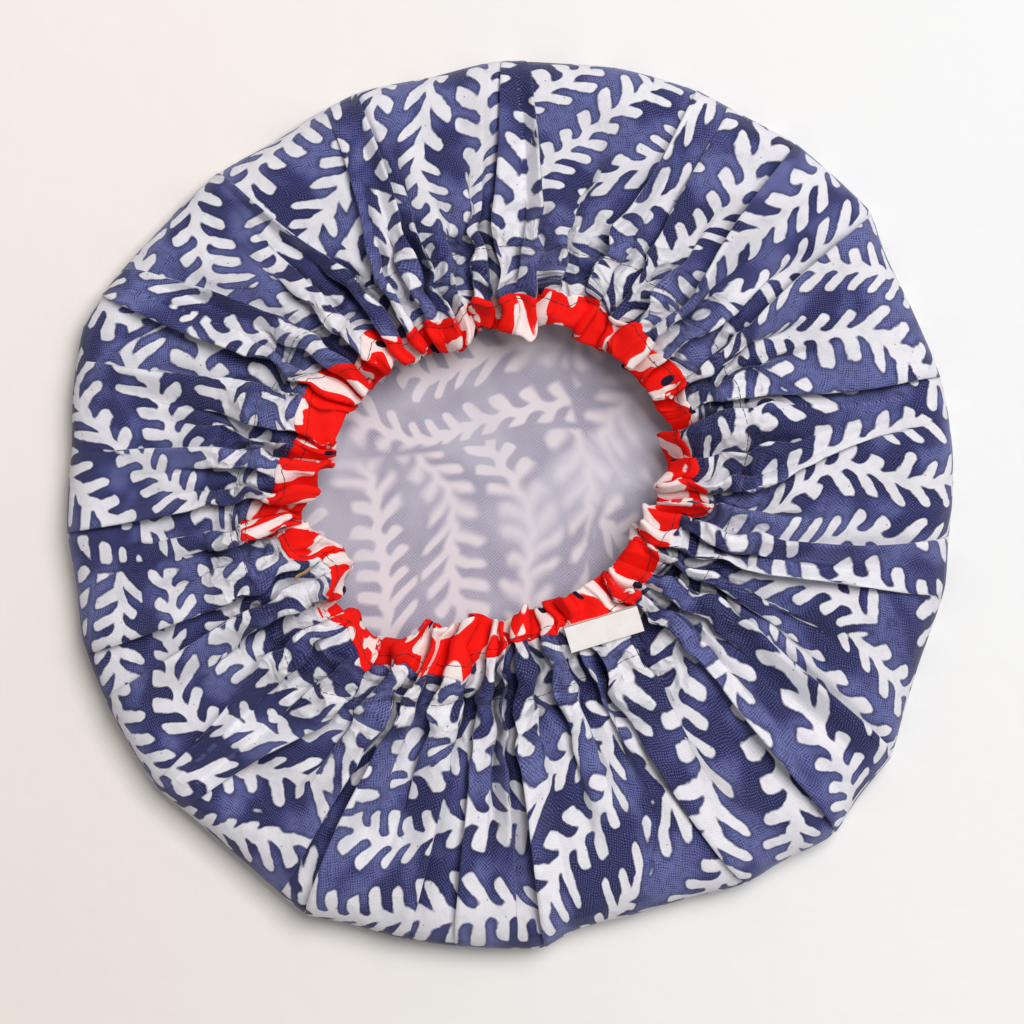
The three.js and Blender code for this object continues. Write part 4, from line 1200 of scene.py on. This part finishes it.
# %% Helpers for node materials
class Graph:
    """A material's node tree with short ways to add nodes; inputs are numbers, tuples or sockets."""

    def __init__(self, name):
        """A new material of that name, with its shader at hand."""
        self.material = bpy.data.materials.new(name)
        self.material.use_nodes = True
        self.tree = self.material.node_tree
        self.shader = self.tree.nodes["Principled BSDF"]

    def add(self, kind, output=0, settings=None, **inputs):
        """One node: settings are its properties, inputs go by number as i0, i1 or by name."""
        node = self.tree.nodes.new(kind)
        for key, value in (settings or {}).items():
            setattr(node, key, value)
        for key, value in inputs.items():
            socket = node.inputs[int(key[1:])] if key[1:].isdigit() else node.inputs[key.replace("_", " ")]
            self.join(value, socket)
        return node.outputs[output]

    def join(self, value, socket):
        """Link a socket or write a constant."""
        if isinstance(value, bpy.types.NodeSocket):
            self.tree.links.new(value, socket)
        elif value is not None:
            socket.default_value = value

    def math(self, operation, a, b=None, c=None):
        """A sum on numbers."""
        return self.add("ShaderNodeMath", settings={"operation": operation}, i0=a, i1=b, i2=c)

    def plus(self, a, b):
        """a and b added."""
        return self.math("ADD", a, b)

    def minus(self, a, b):
        """b taken from a."""
        return self.math("SUBTRACT", a, b)

    def times(self, a, b):
        """a times b."""
        return self.math("MULTIPLY", a, b)

    def times_plus(self, a, b, c):
        """a times b, and c added."""
        return self.math("MULTIPLY_ADD", a, b, c)

    def vector(self, operation, a, b=None):
        """A sum on vectors."""
        output = 1 if operation == "LENGTH" else 0
        return self.add("ShaderNodeVectorMath", output=output, settings={"operation": operation}, i0=a, i1=b)

    def scaled(self, vector, size):
        """A vector times a number."""
        return self.add("ShaderNodeVectorMath", settings={"operation": "SCALE"}, i0=vector, Scale=size)

    def part(self, vector, axis):
        """One coordinate of a vector, 0 for x and 1 for y."""
        return self.add("ShaderNodeSeparateXYZ", output=axis, i0=vector)

    def chance(self, a, b, c=None):
        """A chance number from 0 to 1 that is the same wherever a, b and c are the same."""
        seed = self.add("ShaderNodeCombineXYZ", i0=a, i1=b, i2=c)
        return self.add("ShaderNodeTexWhiteNoise", Vector=seed)

    def shaken(self, vector, size, amount):
        """Places moved by a fine noise, so that a grain drawn there runs unevenly."""
        return self.vector("ADD", vector, self.scaled(self.noise(vector, size, 2.0, output=1), amount))

    def step(self, value, low, high, start=0.0, end=1.0):
        """Smooth step of a value between low and high."""
        return self.add(
            "ShaderNodeMapRange", settings={"interpolation_type": "SMOOTHSTEP"},
            i0=value, i1=low, i2=high, i3=start, i4=end,
        )

    def blend(self, share, a, b):
        """Blend of two colours; the share goes from a to b."""
        node = self.tree.nodes.new("ShaderNodeMix")
        node.data_type = "RGBA"
        self.join(share, node.inputs[0])
        self.join(a, node.inputs[6])
        self.join(b, node.inputs[7])
        return node.outputs[2]

    def noise(self, vector, size, detail=1.0, output=0):
        """Noise with features of about that size in mm."""
        return self.add(
            "ShaderNodeTexNoise", output=output, settings={"noise_dimensions": "2D"},
            Vector=vector, Scale=1 / size, Detail=detail,
        )

    def cells(self, vector, size, output, feature="F1"):
        """Voronoi cells of about that size in mm."""
        return self.add(
            "ShaderNodeTexVoronoi", output=output, settings={"voronoi_dimensions": "2D", "feature": feature},
            Vector=vector, Scale=1 / size,
        )

    def cut_mm(self):
        """Place on the flat cut in mm, from the piece's own map."""
        uv = self.add("ShaderNodeUVMap", settings={"uv_map": "cut"})
        return self.scaled(uv, 1000.0)

    def finish(self, colour, roughness, height=None, bump=0.0, **constants):
        """Join the colour, roughness and bump to the shader, write the constants and give the material."""
        self.join(colour, self.shader.inputs["Base Color"])
        self.join(roughness, self.shader.inputs["Roughness"])
        if height is not None:
            normal = self.add("ShaderNodeBump", Strength=1.0, Distance=bump * MM, Height=height)
            self.join(normal, self.shader.inputs["Normal"])
        for key, value in constants.items():
            self.shader.inputs[key.replace("_", " ")].default_value = value
        return self.material


print("node helpers ready")

# %% [markdown]
# ## The sprig print
# The cotton carries pale branching sprigs on blue, drawn with motifs made up for this lesson. Large cells
# give the way they grow, lanes hold one sprig each, and in every lane a wavy stem and slanted round-ended
# fingers are joined by their distances in millimetres. A hand-drawn picture would be freer in its lines,
# but would have to be drawn for the whole half metre of cloth.

# %% Distance to the sprigs
PATCH_SIZE = 140.0
LANE_WIDTH = 23.0
FINGER_PITCH = 8.1
FINGER_SLANT = 0.6
FINGER_REACH, FINGER_SPREAD = 6.3, 4.0
CLUB_HALF, CLUB_GROWTH, CLUB_END = 1.22, 0.07, 12.0
STEM_HALF = 1.9
BEND_SIZE, BEND = 60, 14.0
LANE_GAP, PATCH_GAP = 0.6, 1.2
JOIN = 1.5


def wave(g, value, length, size, phase=0.0):
    """Sine wave of a value in mm, with its length over two pi, its size and its phase."""
    return g.times(g.math("SINE", g.plus(g.math("DIVIDE", value, length), phase)), size)


def sprig_distance(g, place):
    """Signed distance in mm to the nearest pale shape, below zero inside it.
    Stem: distance to a wavy line. Finger: distance to a slanted club of random length with a round
    end. A smooth minimum joins them, and a smooth maximum keeps them off the borders of lane and
    patch."""
    bent = g.vector("SUBTRACT", g.noise(place, BEND_SIZE, 0.0, output=1), (0.5, 0.5, 0.5))
    place = g.vector("ADD", place, g.scaled(bent, BEND))
    key = g.add("ShaderNodeSeparateColor", i0=g.cells(place, PATCH_SIZE, 1))
    patch_edge = g.cells(place, PATCH_SIZE, 0, feature="DISTANCE_TO_EDGE")
    turned = g.add(
        "ShaderNodeVectorRotate", settings={"rotation_type": "Z_AXIS"},
        Vector=place, Angle=g.times(key, 6 * np.pi),
    )
    v = g.part(turned, 1)
    u = g.plus(g.part(turned, 0), wave(g, v, 15.0, 3.2, g.times(key, 30)))
    lane = g.math("ROUND", g.math("DIVIDE", u, LANE_WIDTH))
    from_middle = g.minus(u, g.times(lane, LANE_WIDTH))
    luck = g.chance(lane, g.times(key, 50))
    growth = g.math("SIGN", g.minus(luck, 0.5))
    along = g.plus(g.times(v, growth), g.times(luck, 60))
    x = g.plus(from_middle, wave(g, along, 6.5, 1.3, g.times(luck, 40)))
    x = g.plus(x, wave(g, along, FINGER_PITCH / (2 * np.pi), 0.7))
    along = g.plus(along, wave(g, along, 9.1, 1.3, g.times(luck, 17)))
    side, off = g.math("SIGN", x), g.math("ABSOLUTE", x)
    stem = g.minus(off, STEM_HALF)
    cosine = 1 / np.sqrt(1 + FINGER_SLANT**2)
    shifted = g.times_plus(off, -FINGER_SLANT, along)
    shifted = g.times_plus(side, FINGER_PITCH / 4, shifted)
    count = g.math("ROUND", g.math("DIVIDE", shifted, FINGER_PITCH))
    across = g.times(g.minus(shifted, g.times(count, FINGER_PITCH)), cosine)
    out = g.times_plus(across, FINGER_SLANT, g.math("DIVIDE", off, cosine))
    reach = g.chance(count, side, luck)
    past = g.math("MAXIMUM", g.minus(out, g.times_plus(reach, FINGER_SPREAD, FINGER_REACH)), 0.0)
    club = g.times_plus(g.math("MINIMUM", out, CLUB_END), CLUB_GROWTH, CLUB_HALF)
    finger = g.minus(g.vector("LENGTH", g.add("ShaderNodeCombineXYZ", i0=past, i1=across)), club)
    shape = g.math("SMOOTH_MIN", stem, finger, JOIN)
    keep_off = g.minus(g.math("ABSOLUTE", from_middle), LANE_WIDTH / 2 - LANE_GAP)
    keep_apart = g.times_plus(patch_edge, -PATCH_SIZE, PATCH_GAP)
    return g.math("SMOOTH_MAX", g.math("SMOOTH_MAX", shape, keep_off, 1.0), keep_apart, 2.0)


def weave_height(g, place, pitch=0.42):
    """Height of a plain weave: two crossed sine waves, a thread every pitch in mm."""
    waves = g.scaled(place, 2 * np.pi / pitch)
    x, y = g.part(waves, 0), g.part(waves, 1)
    return g.times(g.math("SINE", x), g.math("SINE", y))


print("lanes of the sprigs in mm:", LANE_WIDTH, "fingers every mm:", FINGER_PITCH)


# %% [markdown]
# The blue is not one colour: a slow noise shades it between three blues, partly uneven dye and partly painted
# sheen and painted shade of the folds. A weave about 1 mm wide, coarser than the real threads so that it
# shows at this distance, gives the worn grain, and a paler paint with a ragged edge lies on top. Creased
# noise and the weave together make the bump.

# %% The blue cotton
LIGHT_BLUE = (0.170, 0.187, 0.455, 1.0)
BLUE = (0.042, 0.044, 0.210, 1.0)
DEEP_BLUE = (0.010, 0.010, 0.070, 1.0)
THREAD_BLUE = (0.18, 0.20, 0.46, 1.0)
PALE = (0.97, 0.94, 0.985, 1.0)
WORN_PALE = (0.66, 0.64, 0.76, 1.0)
SPECK = (0.20, 0.21, 0.36, 1.0)
THREAD_PITCH = 1.0
GATHERS_FROM, GATHERS_FULL = 200.0, 216.0
CREASE_DEPTH, GATHERED_DEPTH = -1.2, -5.5
WEAVE_DEPTH = 0.07

g = Graph("blue_cotton")
place = g.cut_mm()
distance = sprig_distance(g, place)
ragged = g.times_plus(g.noise(place, 2.2, 2.0), 0.7, -0.35)
white = g.step(g.plus(distance, ragged), 0.28, -0.28)
grain = weave_height(g, g.shaken(place, 4, 1.7), THREAD_PITCH)
worn = g.step(g.noise(place, 2.4, 2.0), 0.4, 0.6, 0.55, 1.0)
dark_grain = g.times(g.step(grain, 0.25, -0.5), worn)
light_grain = g.step(grain, 0.1, 0.7)
# painted sheen and painted shade: the slow noise makes lighter and deeper blue patches, partly uneven dye too
dye_sheen_and_shade_patches = g.noise(place, 26, 2.0)
ground = g.blend(g.step(dye_sheen_and_shade_patches, 0.38, 0.56), LIGHT_BLUE, BLUE)
ground = g.blend(g.step(dye_sheen_and_shade_patches, 0.47, 0.61, 0.0, 0.82), ground, DEEP_BLUE)
ground = g.blend(g.times(light_grain, 0.5), ground, THREAD_BLUE)
ground = g.blend(g.times(dark_grain, 0.9), ground, DEEP_BLUE)
ground = g.blend(g.step(distance, 1.3, 0.3, 0.0, 0.45), ground, DEEP_BLUE)
specks = g.step(g.cells(place, 13, 0), 0.026, 0.014)
paint = g.blend(g.step(g.noise(place, 3.5, 3.0), 0.45, 0.8, 0.0, 0.3), PALE, WORN_PALE)
paint = g.blend(g.times(dark_grain, 0.12), paint, SPECK)
paint = g.blend(g.times(specks, 0.7), paint, SPECK)
colour = g.blend(white, ground, paint)
gathered = g.step(g.vector("LENGTH", place), GATHERS_FROM, GATHERS_FULL)
creased = g.math("ABSOLUTE", g.minus(g.noise(place, 9, 2.0), 0.5))
creased = g.times(creased, g.times_plus(gathered, GATHERED_DEPTH, CREASE_DEPTH))
height = g.plus(g.times(weave_height(g, place), WEAVE_DEPTH), creased)
blue_cotton = g.finish(
    colour, 0.5, height, 0.9, Sheen_Weight=0.25, Sheen_Roughness=0.35, Sheen_Tint=(0.8, 0.84, 1.0, 1.0),
    Specular_IOR_Level=0.35,
)
outer.data.materials.append(blue_cotton)
print("blue cotton nodes:", len(g.tree.nodes))

# %% [markdown]
# The film lets the cotton's print through like frosted glass: sharp where the layers touch, soft and
# milky where they part. One slow noise stands for how far they are apart, and steers blur and haze.
# A second slow noise adds pale clouds, partly the film's milkiness and partly a painted sheen.

# %% The frosted lining
FILM_BLUE = (0.42, 0.385, 0.495, 1.0)
FILM_DARK = (0.10, 0.09, 0.14, 1.0)
FILM_PALE = (0.76, 0.68, 0.72, 1.0)
FILM_HAZE_AND_SHEEN = (0.69, 0.66, 0.74, 1.0)
SOFT_BLUR, SHARP_BLUR = 2.6, 0.5

g = Graph("frosted_film")
place = g.cut_mm()
distance = sprig_distance(g, place)
lift_off = g.noise(place, 60, 1.0)
blur = g.step(lift_off, 0.35, 0.62, SOFT_BLUR, SHARP_BLUR)
milk = g.step(g.math("DIVIDE", distance, blur), 1.0, -1.0)
# painted sheen: pale clouds from a slow noise, partly the film's own milkiness
milk_and_sheen_clouds = g.step(g.noise(place, 45, 3.0), 0.48, 0.72, 0.0, 0.4)
haze_and_sheen = g.plus(g.step(lift_off, 0.5, 0.38, 0.0, 0.5), milk_and_sheen_clouds)
mesh_grain = g.step(weave_height(g, g.shaken(place, 3, 1.2), 1.1), 0.3, -0.6, 0.0, 0.42)
colour = g.blend(mesh_grain, FILM_BLUE, FILM_DARK)
colour = g.blend(milk, colour, FILM_PALE)
colour = g.blend(haze_and_sheen, colour, FILM_HAZE_AND_SHEEN)
frosted_film = g.finish(colour, 0.5, g.noise(place, 12, 2.0), 0.3)
lining.data.materials.append(frosted_film)
print("lining nodes:", len(g.tree.nodes))

# %% [markdown]
# ## The red print, the threads, the elastic and the ribbon
# The binding has pinkish blots with small dark dots on red. Blots come from a noise cut at a level and
# dots from cells.

# %% The red cotton
RED = (0.95, 0.008, 0.004, 1.0)
PINK = (0.97, 0.80, 0.77, 1.0)
DOT = (0.012, 0.01, 0.035, 1.0)

g = Graph("red_cotton")
place = g.cut_mm()
blots = g.step(g.noise(place, 17, 1.5), 0.55, 0.562)
dots = g.step(g.cells(place, 26, 0), 0.085, 0.075)
colour = g.blend(blots, RED, PINK)
colour = g.blend(dots, colour, DOT)
height = g.plus(g.times(weave_height(g, place), 0.08), g.noise(place, 4, 2.0))
binding.data.materials.append(g.finish(colour, 0.75, height, 0.25, Specular_IOR_Level=0.15))
print("red cotton nodes:", len(g.tree.nodes))

# %% The threads, the elastic and the ribbon
DARK_THREAD = (0.06, 0.008, 0.016, 1.0)
KNIT = (0.87, 0.84, 0.79, 1.0)
CREAM_LOW, CREAM_HIGH = (0.87, 0.80, 0.76, 1.0), (0.92, 0.87, 0.84, 1.0)
GOLD = (0.54, 0.34, 0.12, 1.0)
KNIT_PITCH, RIBBON_PITCH = 1.2, 0.5

g = Graph("thread_dark")
dark_thread = g.finish(DARK_THREAD, 0.6)
for thread in threads:
    thread.data.materials.append(dark_thread)

g = Graph("knit")
place = g.cut_mm()
elastic.data.materials.append(g.finish(KNIT, 0.7, weave_height(g, place, KNIT_PITCH), 0.2))

g = Graph("ribbon")
place = g.cut_mm()
shade = g.step(g.noise(place, 7, 2.0), 0.3, 0.7)
colour = g.blend(shade, CREAM_LOW, CREAM_HIGH)
ribbon = g.finish(colour, 0.6, weave_height(g, place, RIBBON_PITCH), 0.025)
label.data.materials.append(ribbon)
root.data.materials.append(ribbon)

g = Graph("gold")
gold = g.finish(GOLD, 0.5)
for tail in tails:
    tail.data.materials.append(gold)
print("materials:", [material.name for material in bpy.data.materials])

# %% [markdown]
# ## Floor, light and camera
# The cap lies on a pale painted board under soft window light from the upper right. The floor's own
# colour makes the pale ground, and the light is set so that a colour renders about as it is written.
# The board's colour also darkens towards the lower left, a painted shade of the window light falling off.

# %% The floor
FLOOR_SIZE = 4.0
FLOOR_HEIGHT = -0.0002
# painted shade: the corner colours darken towards the lower left, where the window light falls off
SHADED_LOW_LEFT, LOW_RIGHT = (0.862, 0.80, 0.74, 1.0), (0.935, 0.925, 0.915, 1.0)
HIGH_LEFT, HIGH_RIGHT = (0.945, 0.87, 0.81, 1.0), (0.925, 0.925, 0.925, 1.0)


def add_plane(name, size, height):
    """One square face at a height, sizes in metres."""
    half = size / 2
    mesh = bpy.data.meshes.new(name)
    corners = [(-half, -half, height), (half, -half, height), (half, half, height), (-half, half, height)]
    mesh.from_pydata(corners, [], [(0, 1, 2, 3)])
    return link_object(name, mesh)


floor = add_plane("painted_board", FLOOR_SIZE, FLOOR_HEIGHT)
floor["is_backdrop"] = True
g = Graph("board")
where = g.add("ShaderNodeTexCoord", output=3)
right = g.step(g.part(where, 0), -0.2, 0.2)
upper = g.step(g.part(where, 1), -0.2, 0.2)
low_side = g.blend(right, SHADED_LOW_LEFT, LOW_RIGHT)
high_side = g.blend(right, HIGH_LEFT, HIGH_RIGHT)
brushed = g.add("ShaderNodeTexNoise", Vector=where, Scale=90.0, Detail=4.0)
floor.data.materials.append(g.finish(g.blend(upper, low_side, high_side), 0.7, brushed, 0.25))
print("floor in metres:", FLOOR_SIZE)

# %% The light
WORLD_STRENGTH = 0.28
LAMP_WATTS = 143.5
LAMP_SIZE = 2.4
LAMP_PLACE = (1.35, 1.35, 3.6)
world = bpy.data.worlds.new("room")
bpy.context.scene.world = world
world.use_nodes = True
world.node_tree.nodes["Background"].inputs[0].default_value = (1.0, 1.0, 1.0, 1.0)
world.node_tree.nodes["Background"].inputs[1].default_value = WORLD_STRENGTH
lamp_data = bpy.data.lights.new("window", "AREA")
lamp_data.shape = "RECTANGLE"
lamp_data.size = LAMP_SIZE
lamp_data.size_y = LAMP_SIZE
lamp_data.energy = LAMP_WATTS
window = link_object("window", lamp_data)
window.location = LAMP_PLACE
window.rotation_mode = "QUATERNION"
window.rotation_quaternion = window.location.to_track_quat("Z", "Y")
print("window lamp in watts:", LAMP_WATTS)

# %% The camera
LENS = 135.0
CAMERA_PLACE = (0.00067, -0.00267, 1.289)
camera_data = bpy.data.cameras.new("camera")
camera_data.lens = LENS
camera_data.sensor_width = 36.0
camera_data.clip_start = 0.05
camera = link_object("camera", camera_data)
camera.location = CAMERA_PLACE
bpy.context.scene.camera = camera
bpy.context.scene.view_settings.view_transform = "Standard"
print("camera height in metres:", round(camera.location.z, 3))

# %% Write the sizes and finish
new_low, new_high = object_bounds()
new_size = [round((high - low) / MM, 1) for low, high in zip(new_low, new_high)]
print("size of the visual cap in mm:", new_size)
